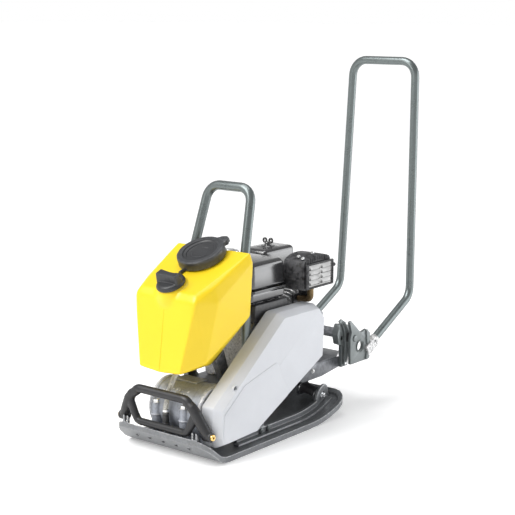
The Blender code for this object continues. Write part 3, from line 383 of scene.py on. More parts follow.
def lathe(name, profile, origin, direction, steps=64, bevel=0.0):
    """Turns (radius, height) points about the direction."""
    bm = bmesh.new()
    rings = []
    for radius, height in profile:
        if radius < 1e-6:
            rings.append([bm.verts.new((0, 0, height))])
            continue
        turns = [2 * math.pi * step / steps for step in range(steps)]
        rings.append([bm.verts.new((radius * math.cos(t), radius * math.sin(t), height)) for t in turns])
    for first, second in zip(rings, rings[1:]):
        for step in range(steps):
            a, b = first[step % len(first)], first[(step + 1) % len(first)]
            c, d = second[(step + 1) % len(second)], second[step % len(second)]
            corners = list(dict.fromkeys((a, b, c, d)))
            if len(corners) > 2:
                bm.faces.new(corners)
    bmesh.ops.transform(bm, matrix=along(direction, origin), verts=bm.verts)
    obj = to_object(name, bm)
    return rounded_edges(obj, bevel, 2, 25.0) if bevel else smooth(obj, 28.0)


def tube(name, points, radius, sides=5, caps=True, radii=None):
    """A round tube through the points. sides is the curve's bevel resolution."""
    curve = bpy.data.curves.new(name, "CURVE")
    curve.dimensions = "3D"
    curve.bevel_depth = radius
    curve.bevel_resolution = sides
    curve.use_fill_caps = caps
    spline = curve.splines.new("POLY")
    spline.points.add(len(points) - 1)
    for index, (point, place) in enumerate(zip(spline.points, points)):
        point.co = (*place, 1.0)
        point.radius = radii[index] if radii else 1.0
    return smooth(apply(link(bpy.data.objects.new(name, curve))), 50.0)


def flatten(bm):
    """Merges doubled points and the triangles of each flat face."""
    bmesh.ops.remove_doubles(bm, verts=bm.verts, dist=FINE)
    bmesh.ops.dissolve_limit(bm, angle_limit=math.radians(0.5), verts=bm.verts, edges=bm.edges)


PLANES = {
    "X": Matrix(((0, 0, 1, 0), (1, 0, 0, 0), (0, 1, 0, 0), (0, 0, 0, 1))),
    "Y": Matrix(((1, 0, 0, 0), (0, 0, -1, 0), (0, 1, 0, 0), (0, 0, 0, 1))),
    "Z": Matrix.Identity(4),
}


def slab(name, outlines, axis, start, end, bevel=0.0008):
    curve = bpy.data.curves.new(name, "CURVE")
    curve.dimensions = "2D"
    curve.fill_mode = "BOTH"
    curve.extrude = abs(end - start) / 2
    for outline in outlines:
        spline = curve.splines.new("POLY")
        spline.points.add(len(outline) - 1)
        for point, (u, v) in zip(spline.points, outline):
            point.co = (u, v, 0.0, 1.0)
        spline.use_cyclic_u = True
    obj = link(bpy.data.objects.new(name, curve))
    middle = (start + end) / 2
    obj.matrix_world = PLANES[axis] @ Matrix.Translation((0, 0, -middle if axis == "Y" else middle))
    obj = apply(obj)
    bm = bmesh.new()
    bm.from_mesh(obj.data)
    flatten(bm)
    bm.to_mesh(obj.data)
    bm.free()
    return rounded_edges(obj, bevel, 2) if bevel else obj


def rounded(points, radius, steps=6, closed=True):
    """Turns the corners of an outline or a path into arcs."""
    points = [Vector(point) for point in points]
    count = len(points)
    radii = radius if isinstance(radius, (list, tuple)) else [radius] * count
    made = []
    for index, corner in enumerate(points):
        if (not closed and index in (0, count - 1)) or radii[index] <= 0:
            made.append(tuple(corner))
            continue
        before = (points[index - 1] - corner).normalized()
        after = (points[(index + 1) % count] - corner).normalized()
        half = before.angle(after) / 2
        reach = radii[index] / math.tan(half)
        middle = corner + (before + after).normalized() * (radii[index] / math.sin(half))
        first = (corner + before * reach - middle).normalized()
        last = (corner + after * reach - middle).normalized()
        made += [tuple(middle + first.slerp(last, step / steps) * radii[index]) for step in range(steps + 1)]
    return made


def circle(y, z, radius, steps=32):
    turns = [2 * math.pi * step / steps for step in range(steps)]
    return [(y + radius * math.cos(turn), z + radius * math.sin(turn)) for turn in turns]


def cad(name, *nodes):
    """One new object with the shapes of CAD nodes, its flat faces merged."""
    bm = bmesh.new()
    for node in nodes:
        bm.from_mesh(NODES[node].data)
    flatten(bm)
    for layer in list(bm.loops.layers.uv):
        bm.loops.layers.uv.remove(layer)
    return to_object(name, bm)


def merge(name, *objects):
    """Several objects as one, without joining their surfaces."""
    bm = bmesh.new()
    for obj in objects:
        obj.data.transform(obj.matrix_world)
        obj.matrix_world = Matrix.Identity(4)
        bm.from_mesh(obj.data)
        bpy.data.objects.remove(obj)
    mesh = bpy.data.meshes.new(name)
    bm.to_mesh(mesh)
    bm.free()
    return link(bpy.data.objects.new(name, mesh))


def fuse(obj, voxel, rounds, factor=0.5):
    """Melts overlapping shells into one cast or moulded skin with soft edges."""
    modifier(obj, "REMESH", mode="VOXEL", voxel_size=voxel, use_smooth_shade=True)
    modifier(obj, "SMOOTH", factor=factor, iterations=rounds)
    apply(obj)
    obj.data.shade_smooth()
    return obj


def carve(obj, *tools):
    for tool in tools:
        modifier(obj, "BOOLEAN", operation="DIFFERENCE", solver="EXACT", object=tool)
    apply(obj)
    for tool in tools:
        bpy.data.objects.remove(tool)
    return obj


def dress(obj, look, body=None, replaces=(), between=None):
    """Gives a piece its material, attaches it to its body and hides the CAD nodes that it stands for. A piece
    with between is baked where it stands and attached to no body; the bodies and points given in between are
    not used."""
    obj.data.materials.clear()
    obj.data.materials.append(LOOK[look])
    for polygon in obj.data.polygons:
        polygon.material_index = 0
    nodes = [replaces] if isinstance(replaces, str) else list(replaces)
    if between:
        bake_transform(obj)
    else:
        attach(obj, body or BODY[nodes[0]])
    if nodes:
        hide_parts(*nodes)
    return obj


def crisp(node, look, bevel=0.0007, segments=2):
    """A CAD shape as it is, with its edges broken."""
    return dress(rounded_edges(cad(node + "_finished", node), bevel, segments), look, replaces=node)


def hex_bolt(place, direction, size=0.0065, height=0.005, washer=True, name="bolt"):
    """A hexagon head on a washer; size is half the width across its corners."""
    bm = bmesh.new()
    bmesh.ops.create_cone(bm, cap_ends=True, segments=6, radius1=size, radius2=size, depth=height)
    bmesh.ops.translate(bm, vec=(0, 0, height / 2 + (0.0012 if washer else 0)), verts=bm.verts)
    bmesh.ops.transform(bm, matrix=along(direction, place), verts=bm.verts)
    head = rounded_edges(to_object("head", bm), size * 0.12, 2)
    end = [(0.0, height + 0.0022), (size * 0.45, height + 0.0022), (size * 0.5, height + 0.0015),
        (size * 0.5, 0.0)]
    parts = [head, lathe("stud", end, place, direction, 16)]
    if washer:
        flat = [(0.0, 0.0013), (size * 1.25, 0.0013), (size * 1.3, 0.001), (size * 1.3, 0.0), (0.0, 0.0)]
        parts.append(lathe("washer", flat, place, direction, 24))
    return merge(name, *parts)


# Water tank ------------------------------------------------------------------------------------------

LID_TILT = math.radians(25)
LID_CENTRE = Vector((0.002, -0.121, 0.4445))
KNOB_CENTRE = Vector((0.0, -0.225, 0.392))
LID_NORMAL = Matrix.Rotation(LID_TILT, 3, "X") @ Vector((0.0, 0.0, 1.0))
TANK_CORNERS = mm((62, -273, 205.5), (93, -251, 372), (84, -240, 388), (98, -222, 226), (114, -196, 366),
    (104, -196, 402), (114, -82, 316), (121, -80, 442), (112, -79.5, 465), (58, -160, 205), (0, -273, 201))


def lid_place(centre, turn=0.0):
    """The frame of the lid or the knob, turned by some degrees about its own axis."""
    spin = Matrix.Rotation(math.radians(turn), 4, "Z")
    return Matrix.Translation(centre) @ Matrix.Rotation(LID_TILT, 4, "X") @ spin


def water_tank():
    bm = bmesh.new()
    for x, y, z in TANK_CORNERS:
        for side in (1, -1):
            bm.verts.new((side * x, y, z))
    made = bmesh.ops.convex_hull(bm, input=bm.verts)
    spare = [piece for piece in made["geom_interior"] if isinstance(piece, bmesh.types.BMVert)]
    bmesh.ops.delete(bm, geom=spare, context="VERTS")
    bmesh.ops.dissolve_limit(bm, angle_limit=math.radians(1), verts=bm.verts, edges=bm.edges)
    tank = to_object("tank_body", bm)
    modifier(tank, "BEVEL", width=0.0065, segments=5, limit_method="ANGLE", angle_limit=math.radians(4))
    apply(tank)
    neck = lathe("neck", mm((0, 12), (48.5, 12), (49.5, 11), (49.5, 4), (51, 1.2), (55.5, -0.8), (0, -0.8)),
        LID_CENTRE, LID_NORMAL, 96)
    flare = mm((0, 8.8), (31, 8.8), (33, 8), (34.5, 5.5), (37.2, 2), (40, -3), (42.5, -11), (44, -24), (0, -24))
    boss = lathe("boss", flare, KNOB_CENTRE, LID_NORMAL, 96)
    stay = box("stay", (-0.04, -0.08, 0.33), (0.04, -0.0765, 0.4), 0.0015)
    tank = fuse(merge("tank_body", tank, boss), 0.0022, 2)
    # The shoulder round the valve boss runs softly into the front face, as a blow-moulded skin does.
    soft = tank.vertex_groups.new(name="soft")
    for vert in tank.data.vertices:
        x, y, z = vert.co
        reach = max(0.0, 1.0 - abs(z - 0.378) / 0.05) * max(0.0, 1.0 - abs(y + 0.246) / 0.045)
        around = (vert.co - KNOB_CENTRE).length
        soft.add([vert.index], min(1.0, 2.0 * reach) * min(1.0, max(0.0, (around - 0.0365) / 0.006)), "REPLACE")
    modifier(tank, "SMOOTH", factor=0.5, iterations=45, vertex_group="soft")
    apply(tank)
    tank.data.shade_smooth()
    tank = merge("tank_body", tank, neck, stay)
    dress(tank, "yellow", replaces="water_tank")
    line = tube("tank_parting_line", mm((0, -273.2, 206.5), (0, -262.5, 287), (0, -251.3, 370)), 0.00045, 3)
    dress(line, "yellow", "machine")


def lid_parts():
    radius = 0.0585
    profile = [(0.0, 0.0185), (0.033, 0.0185), (0.0345, 0.019), (0.0355, 0.0205), (0.0405, 0.021),
        (0.0425, 0.0222), (0.044, 0.0245), (0.0465, 0.0252), (0.053, 0.0252), (0.056, 0.0244), (0.0575, 0.0228),
        (0.058, 0.0205), (0.0583, 0.015), (radius, 0.004), (0.058, 0.0032), (0.05, 0.0032), (0.05, 0.014),
        (0.0, 0.014)]
    lid = lathe("cap", profile, LID_CENTRE, LID_NORMAL, 128)
    place = lid_place(LID_CENTRE)
    slot_mark = box("slot_mark", (-0.0095, 0.0165, 0.018), (0.0095, 0.02, 0.019), 0.0003, place, 1)
    arc = [tuple(place @ Vector((0.0225 * math.cos(t), 0.0225 * math.sin(t), 0.0186)))
        for t in [math.radians(200 + 7 * step) for step in range(21)]]
    ring = tube("ring", arc, 0.0006, 3)
    lid = merge("tank_cap", lid, ring)
    dress(lid, "lid_black", replaces="tank_lid")
    dress(slot_mark, "black", "tank_lid")
    outline = mm((48, -19), (66, -12.5), (74.5, -6), (74.5, 5), (66, 15), (48, 22))
    tab = slab("tab", [rounded(outline, 0.003)], "Z", 0.012, 0.0235, 0.002)
    tab.data.transform(lid_place(LID_CENTRE, 62))
    brace = box("brace", (0.052, -0.005, 0.006), (0.07, 0.006, 0.014), 0.0015, lid_place(LID_CENTRE, 62))
    dress(merge("tank_cap_lever", tab, brace), "lid_black", "tank_lid")
    strap = [tuple(lid_place(LID_CENTRE) @ Vector((x, y, z))) for x, y, z in ((-0.012, -0.0575, 0.003),
        (-0.013, -0.064, 0.0034), (-0.013, -0.071, 0.004))]
    dress(tube("cap_tether", strap, 0.0044, 6), "black", "machine")


def knob_parts():
    low = 0.0093
    profile = [(0.0, low + 0.012), (0.027, low + 0.0112), (0.031, low + 0.0098), (0.0335, low + 0.007),
        (0.0342, low + 0.0048), (0.035, low + 0.004), (0.0352, low + 0.0006), (0.034, low), (0.0, low)]
    base = lathe("base", profile, KNOB_CENTRE, LID_NORMAL, 96)
    place = lid_place(KNOB_CENTRE, -4)
    outline = mm((-33, -10.5), (-29, -12.5), (-12, -10), (0, -8.5), (12, -8), (30, -9), (33, -6), (33.5, 6),
        (30, 10), (12, 8.5), (0, 8.5), (-12, 10), (-29, 12.5), (-33, 10.5))
    wing = slab("wing", [rounded(outline, 0.002)], "Z", low + 0.006, low + 0.03, 0.0028)
    for vert in wing.data.vertices:
        share = (vert.co.z - low - 0.006) / 0.024
        vert.co.y *= 1.25 - 0.45 * share
        vert.co.x *= 1.0 - 0.06 * share
    wing.data.transform(place)
    knob = fuse(merge("valve_knob", base, wing), 0.0008, 4)
    dress(knob, "lid_black", replaces="water_valve_knob")
    ring = lathe("valve_knob_ring", mm((33, 9.4), (33.6, 9), (33.6, 8.6), (33, 8.4)), KNOB_CENTRE, LID_NORMAL,
        96)
    dress(ring, "black", "machine")


# Belt guard ------------------------------------------------------------------------------------------

GUARD_OUTLINE = mm((-233, 36), (-205, 36), (-100, 40), (-83, 52), (161, 172), (168, 276), (140, 311), (-4, 311),
    (-238, 130), (-241, 62))


GUARD_BACK, GUARD_EDGE, GUARD_SWELL = 0.0985, 0.131, 0.021
SCREW_FACE = 0.1462
# Each screw of the guard: y, z, the cup's outer radius and the radius of the black disc that is painted shade
# on the cup's floor.
GUARD_SCREWS = ((-0.1765, 0.1672, 0.0078, 0.0056), (0.1515, 0.283, 0.0066, 0.0044))


def belt_guard():
    radii = [0.01, 0.01, 0.012, 0.012, 0.014, 0.014, 0.018, 0.03, 0.014, 0.012]
    outline = rounded(GUARD_OUTLINE, radii, 6)
    bm = bmesh.new()
    face = bm.faces.new([bm.verts.new((GUARD_EDGE, y, z)) for y, z in outline])
    rim = face.edges[:]
    back = bmesh.ops.extrude_edge_only(bm, edges=rim)["geom"]
    for vert in [piece for piece in back if isinstance(piece, bmesh.types.BMVert)]:
        vert.co.x = GUARD_BACK
    bmesh.ops.inset_region(bm, faces=[face], thickness=0.0105)
    bmesh.ops.translate(bm, verts=face.verts, vec=(GUARD_SWELL, 0, 0))
    bmesh.ops.remove_doubles(bm, verts=bm.verts, dist=0.0001)
    guard = to_object("guard_shell", bm)
    modifier(guard, "BEVEL", width=0.0022, segments=4, limit_method="ANGLE", angle_limit=math.radians(22))
    modifier(guard, "SOLIDIFY", thickness=0.003, offset=-1.0, use_even_offset=True)
    apply(guard)
    smooth(guard, 30.0)
    cups = []
    for y, z, size, _ in GUARD_SCREWS:
        ring = [(size, -0.004), (size, 0.001), (size - 0.0007, 0.0016), (size - 0.0018, 0.0012),
            (size - 0.0022, -0.003)]
        cups.append(lathe("cup", ring, (SCREW_FACE, y, z), RIGHT, 40))
    guard = merge("guard_shell", guard, *cups)
    raised = slab("raised", [rounded(mm((-224, 52.5), (-205, 50), (-104, 53.5), (-90, 60), (20, 114),
        (-30, 200), (-150, 170), (-222, 115), (-226, 70)), 0.012, 5)], "X", 0.15, 0.153, 0.0006)
    dress(merge("guard_shell", guard, raised), "light_grey", replaces="belt_guard")
    for index, (y, z, _, size) in enumerate(GUARD_SCREWS):
        place = (SCREW_FACE, y, z)
        # A black disc on each screw cup's floor is painted shade.
        disc = [(0.0, 0.0002), (size, 0.0002), (size, -0.002), (0.0, -0.002)]
        dress(lathe(f"guard_screw_shade_disc_{index + 1}", disc, place, RIGHT, 32), "rubber", "machine")
        screw = hex_bolt(place, RIGHT, 0.0036, 0.0014, False, f"guard_screw_{index + 1}")
        dress(screw, "hinge_grey", "machine")


# Guide handle, bail, hinge ---------------------------------------------------------------------------

SOCKET = (0.116, 0.396, 0.142)
HANDLE_BEND = (0.116, 0.599, 0.249)
HANDLE_TOP = (0.1, 0.63, 0.879)


def bent(half, radii, steps=10):
    path = half + [(-x, y, z) for x, y, z in reversed(half)]
    return rounded(path, radii, steps, closed=False)


def guide_handle():
    path = bent([SOCKET, HANDLE_BEND, HANDLE_TOP], [0, 0.045, 0.043, 0.043, 0.045, 0])
    dress(tube("handle_tube", path, 0.011, 9), "handle_grey", replaces="guide_handle")
    tilt = math.atan2(HANDLE_BEND[2] - SOCKET[2], HANDLE_BEND[1] - SOCKET[1])
    outline = mm((317.5, 113), (385, 113), (399, 116), (402, 130), (396, 140), (401, 155), (401, 183),
        (388, 196), (364, 190), (320, 229), (312.5, 226), (322.5, 198), (316.5, 180))
    for side, hand in ((1, "right"), (-1, "left")):
        low, high = sorted((side * 0.112, side * 0.12))
        plate = slab("plate", [rounded(outline, 0.0025, 3), circle(0.36, 0.155, 0.0125)], "X", low, high,
            0.0009)
        edge = slab("edge", [rounded(mm((384, 113), (399, 116), (402, 130), (396, 140), (401, 155), (401, 183),
            (388, 196), (385, 190), (390, 150)), 0.0015, 2)], "X", side * 0.112, side * 0.1235, 0.0009)
        place = Matrix.Translation((side * SOCKET[0], *SOCKET[1:])) @ Matrix.Rotation(tilt, 4, "X")
        socket = box("socket", (-0.0112, -0.01, -0.015), (0.0112, 0.036, 0.0135), 0.0016, place)
        rib = box("rib", (-0.0075, 0.004, 0.012), (0.0075, 0.026, 0.015), 0.001, place)
        collar = tube("collar", [tuple(place @ Vector((0, y, 0))) for y in (0.03, 0.043)], 0.0128, 7)
        weld = lathe("weld", mm((15.5, 0), (16.2, 0.8), (16, 1.8), (15, 2.2), (14, 1)),
            (side * 0.12, 0.36, 0.155), (side, 0, 0), 48)
        dress(merge(f"handle_bracket_{hand}", plate, edge, weld), "hinge_grey", "handle")
        dress(merge(f"handle_socket_{hand}", socket, rib, collar), "fins", "handle")
        pin = lathe(f"pivot_bolt_{hand}", mm((0, 4.2), (5, 4.2), (8, 3.4), (9, 1.6), (9, 0), (6.5, 0),
            (6.5, -30), (0, -30)), (side * 0.12, 0.336, 0.18), (side, 0, 0), 40)
        dress(pin, "hinge_grey", replaces=f"pivot_pin_{hand}")
    for index, side in enumerate((1, -1)):
        grip = tube(f"handle_end_cap_{index + 1}", [(side * 0.116, 0.3945, 0.1412),
            (side * 0.116, 0.3968, 0.1424)], 0.0094, 5)
        dress(grip, "black", "handle")


def lifting_bail():
    half = mm((88, -62.5, 134.5), (80, -62.5, 445), (65.5, -17.5, 603.5))
    path = bent(half, [0, 0.06, 0.036, 0.036, 0.06, 0])
    dress(tube("bail_tube", path, 0.0115, 9), "handle_grey", replaces="lifting_bail")
    for side, hand in ((1, "right"), (-1, "left")):
        bead = lathe(f"bail_weld_{hand}", mm((11.8, 8), (14, 5.2), (16.5, 1.8), (17, 0), (11, 0)),
            (side * 0.088, -0.0625, 0.1345), UP, 40)
        dress(bead, "handle_grey", "machine")


def hinge():
    axle = rounded_edges(cad("cross_tube_and_cheeks", "hinge_axle"), 0.001, 3)
    dress(axle, "hinge_grey", replaces="hinge_axle")
    sleeve = tube("cross_tube_sleeve", [(-0.0795, 0.33, 0.188), (0.0795, 0.33, 0.188)], 0.01315, 9)
    dress(sleeve, "frame_grey", "machine")
    for side, hand in ((1, "right"), (-1, "left")):
        bush = lathe(f"pivot_bush_{hand}", mm((12.5, 0), (12.5, 10.5), (11, 12.5), (7.5, 12.5), (7.5, 0)),
            (side * 0.0984, 0.336, 0.18), (side, 0, 0), 40)
        dress(bush, "rubber", "machine")
    latch = rounded_edges(cad("latch_hook", "handle_latch"), 0.0009, 3)
    dress(latch, "hinge_grey", replaces="handle_latch")
    pin = lathe("latch_pin", mm((0, 5.8), (3.6, 5.8), (4.6, 4.8), (4.6, 0), (0, 0)), (0.0982, 0.32, 0.115),
        RIGHT, 24)
    dress(pin, "chrome", "latch")


# Base plate and exciter ------------------------------------------------------------------------------


def base_plate():
    plate = fuse(cad("plate_casting", "base_plate"), 0.0014, 3)
    lip_way = Vector((0.0, -0.669, -0.743))
    recesses, recess_shade_discs = [], []
    for x in (-0.0896, -0.049, -0.0065, 0.034, 0.0745):
        place = Vector((x, -0.256, 0.0288))
        recesses.append(lathe("recess", mm((0, 6), (5.6, 6), (5, -3.2), (0, -3.2)), place, lip_way, 24))
        # A black disc at the bottom of each lip recess is painted shade.
        recess_shade_discs.append(lathe("plug", mm((0, 1.2), (4.4, 1.2), (4.6, 0), (0, 0)), place - lip_way * 0.0034, lip_way,
            24))
    plate = carve(plate, merge("recesses", *recesses))
    smooth(plate, 40.0)
    dress(plate, "cast_grey", replaces="base_plate")
    dress(merge("lip_recess_shade_discs", *recess_shade_discs), "rubber", "machine")
    for index, (x, y, z) in enumerate(((0.101, -0.025, 0.019), (0.101, 0.002, 0.019), (-0.101, -0.025, 0.019),
            (-0.101, 0.002, 0.019))):
        place = (math.copysign(0.0965, x), y, z)
        bolt = hex_bolt(place, (math.copysign(1, x), 0, 0), 0.0068, 0.006, name=f"rail_bolt_{index + 1}")
        dress(bolt, "hinge_grey", "machine")
    for index, (x, y) in enumerate(((0.07, -0.085), (-0.07, -0.085), (0.07, -0.06), (-0.07, -0.06))):
        nut = hex_bolt((x, y, 0.0085), UP, 0.0085, 0.0075, name=f"plate_nut_{index + 1}")
        dress(nut, "steel", "machine")
    for index, side in enumerate((1, -1)):
        nut = hex_bolt((side * 0.118, -0.238, 0.029), (0, -0.35, 0.94), 0.008, 0.007,
            name=f"lip_nut_{index + 1}")
        dress(nut, "steel", "machine")


EXCITER = Vector((0.0, -0.178, 0.1))
BOLTS = [(x, y) for y in (-0.236, -0.12) for x in (-0.0435, 0.0435)]


def exciter():
    start = EXCITER + Vector((-0.0575, 0, 0))
    body = lathe("barrel", mm((46, 0), (64, 0), (65, 1), (65, 6), (63.5, 7.5), (62.5, 9), (62.5, 118),
        (63.5, 120), (65, 121.5), (65, 140), (64, 141.5), (46, 141.5), (46, 0)), start, RIGHT, 96)
    parts = [body, box("foot", (-0.053, -0.205, 0.0084), (0.062, -0.118, 0.06), 0.006)]
    parts.append(box("pad", (-0.03, -0.19, 0.16), (0.04, -0.15, 0.165), 0.002))
    for x, y in BOLTS:
        low, top = (0.0365, 0.115) if y < -0.2 else (0.009, 0.104)
        profile = [(0.0, top), (0.01, top), (0.0118, top - 0.002), (0.0124, top - 0.024), (0.0124, top - 0.026),
            (0.0142, top - 0.027), (0.0146, top - 0.0285), (0.0142, top - 0.03), (0.0128, top - 0.031),
            (0.0128, 0.056), (0.015, low), (0.0, low)]
        parts.append(lathe("boss", profile, (x, y, 0.0), UP, 40))
    housing = fuse(merge("exciter_casting", *parts), 0.0011, 2)
    dress(housing, "aluminium", replaces="exciter_housing")
    marks = []
    for row in range(3):
        for step in range(9):
            if (row * 5 + step * 3) % 7 == 0:
                continue
            x = -0.034 + step * 0.0088
            high = 0.0036 if (step + row) % 3 else 0.0022
            spin = turned(EXCITER, 38 + row * 9)
            marks.append(box("mark", (x, -high, 0.0616), (x + 0.0052 - 0.0014 * (step % 2), high * 0.6, 0.0634),
                0.0005, spin, 1))
    dress(merge("exciter_cast_marks", *marks), "aluminium", "machine")
    rim = mm((0, 8.5), (28, 8.5), (31, 7), (46, 6.2), (50, 8.5), (61, 8.5), (63.5, 6), (64, 0.4), (0, 0.4))
    for hand, side, place in (("left", -1, -0.0575), ("right", 1, 0.084)):
        origin = EXCITER + Vector((place, 0, 0))
        cover = lathe(f"exciter_end_{hand}", rim if side < 0
            else [(0.0112, 0.0085)] + rim[1:-1] + [(0.0112, 0.0004)], origin, (side, 0, 0), 96)
        bolts = []
        for step in range(6):
            turn = math.radians(30 + 60 * step)
            spot = origin + Vector((side * 0.0085, 0.0555 * math.cos(turn), 0.0555 * math.sin(turn)))
            bolts.append(hex_bolt(spot, (side, 0, 0), 0.0045, 0.0035, False))
        dress(cover, "aluminium", replaces=f"exciter_cover_{hand}")
        dress(merge(f"exciter_end_bolts_{hand}", *bolts), "steel", "machine")
    for index, (x, y) in enumerate(BOLTS):
        profile = mm((0, 6.2), (3.6, 6.2), (4, 9.2), (9.2, 9.2), (10.2, 8), (10.2, 2.2), (11.4, 1.6),
            (11.4, 0.4), (0, 0.4))
        bolt = lathe(f"exciter_cap_screw_{index + 1}", profile, (x, y, 0.115 if y < -0.2 else 0.104), UP, 40)
        dress(bolt, "chrome", replaces=f"exciter_bolt_{index + 1}")
    for node in ("eccentric_shaft", "exciter_pulley", "exciter_bearing_left", "exciter_bearing_right"):
        crisp(node, "steel", 0.0005)


# Front handle and water feed -------------------------------------------------------------------------


def front_handle():
    forged = [cad("carrying_handle", "front_handle")]
    for side in (1, -1):
        leg = [(side * 0.13, -0.256, 0.074), (side * 0.117, -0.261, 0.097), (side * 0.105, -0.2645, 0.12),
            (side * 0.094, -0.2655, 0.133), (side * 0.076, -0.2655, 0.144)]
        forged.append(tube("leg", leg, 0.0128, 8, radii=[0.95, 1.0, 1.0, 0.93, 0.85]))
        forged.append(tube("web", [(side * 0.102, -0.264, 0.113), (side * 0.09, -0.265, 0.09),
            (side * 0.076, -0.2655, 0.07)], 0.01, 8, radii=[1.0, 0.95, 0.9]))
    handle = fuse(merge("carrying_handle", *forged), 0.0011, 9)
    dress(handle, "black", replaces="front_handle")
    for hand, side in (("left", -1), ("right", 1)):
        ring = mm((0, 1), (2.6, 1), (3, 3.6), (5.8, 4), (6.8, 3.4), (7.4, 2), (7.5, 0.3), (0, 0.3))
        plug = lathe(f"bar_plug_{hand}", ring, (side * 0.1443, -0.2545, 0.07), (side, 0, 0), 40)
        dress(plug, "brass", replaces=f"sprinkler_plug_{hand}")
    holes = [lathe("nozzle", mm((0, 0.8), (1.3, 0.8), (2.2, 0), (0, 0)), (x, -0.2675, 0.061), (0, -0.1, -1),
        12) for x in [-0.066 + 0.012 * step for step in range(12)]]
    dress(merge("sprinkler_nozzles", *holes), "brass", "machine")


def water_feed():
    profile = mm((0, 101), (7.2, 101), (7.8, 100), (7.8, 97), (7, 96.2), (7, 93.5), (7.8, 92.8), (7.8, 78),
        (8.8, 77), (8.8, 62), (0, 60.5))
    elbow = lathe("feed_elbow", profile, (0.0, -0.253, 0.0), UP, 40)
    dress(elbow, "black", replaces="hose_elbow")
    feed_hose()
    clip = lathe("hose_clip", mm((6.6, 0), (7.4, 0), (7.4, 5), (6.6, 5), (6.6, 0)), (0.0, -0.253, 0.1035), UP,
        32)
    dress(clip, "chrome", "machine")


HOSE_ROUTE = mm((0, -253, 101.3), (0, -253, 110), (1, -249.5, 130), (4, -244.5, 152), (10, -236, 178),
    (14, -225, 198.5))


def smooth_route(points, between=5):
    points = [Vector(point) for point in points]
    padded = [2 * points[0] - points[1], *points, 2 * points[-1] - points[-2]]
    made = []
    for p0, p1, p2, p3 in zip(padded, padded[1:], padded[2:], padded[3:]):
        for step in range(between):
            t = step / between
            made.append(0.5 * (2 * p1 + (p2 - p0) * t + (2 * p0 - 5 * p1 + 4 * p2 - p3) * t * t + (
                3 * p1 - p0 - 3 * p2 + p3) * t**3))
    return [tuple(point) for point in made + [points[-1]]]


def feed_hose():
    route = smooth_route(HOSE_ROUTE)
    hose = tube("feed_hose", route, 0.006, 7)
    dress(hose, "hose", replaces="water_hose")


# Engine ----------------------------------------------------------------------------------------------

CRANK = Vector((0.0, 0.085, 0.235))
CYLINDER = turned(CRANK, 25)
CYLINDER_WAY = CYLINDER.to_3x3() @ Vector((0.0, 1.0, 0.0))
FUEL_CAP = (-0.03, 0.012, 0.4303)
CLEANER_AXIS = (-0.047, 0.184, 0.0)
STARTER_MOUTH = (-0.118, 0.013, 0.299)
# The muffler's arched top in its y-z section: middle, half its width, height of its ends and rise.
ARCH_Y, ARCH_HALF, ARCH_Z, ARCH_RISE = 0.157, 0.0545, 0.408, 0.021


def fuel_tank():
    upper = box("upper", (-0.084, -0.044, 0.3595), (0.088, 0.092, 0.4262), 0.013, None, 6, 0.935)
    lower = box("lower", (-0.08, -0.042, 0.3295), (0.084, 0.088, 0.358), 0.008, None, 5)
    corner = mm((-87, -45.5), (90.5, -45.5), (90.5, 94), (-87, 94))
    seams = [slab("seam", [rounded(corner, 0.012, 5)], "Z", low, low + 0.0021, 0.0007)
        for low in (0.356, 0.3591)]
    inner = mm((-85.5, -44), (89, -44), (89, 92.5), (-85.5, 92.5))
    seams.append(slab("seam", [rounded(inner, 0.012, 5)], "Z", 0.3575, 0.36, 0.0003))
    neck = lathe("neck", mm((0, 430), (20, 430), (20.5, 429), (19, 427), (23, 423.5), (0, 423.5)),
        (*FUEL_CAP[:2], 0.0), UP, 48)
    dress(merge("fuel_tank_shells", upper, lower, *seams, neck), "gloss", replaces="fuel_tank")
    profile = mm((0, 14.5), (12.5, 14.2), (14, 12.6), (20, 12.2), (22.2, 11), (23.5, 8.5), (24, 0), (0, 0))
    cap = lathe("cap", profile, FUEL_CAP, UP, 72)
    grips = [box("grip", (0.0222, -0.0008, 0.0008), (0.0244, 0.0008, 0.0094), 0.0003,
        turned(FUEL_CAP, 10 * step, "Z"), 1) for step in range(36)]
    dress(merge("fuel_cap_turned", cap, *grips), "chrome", replaces="fuel_cap")


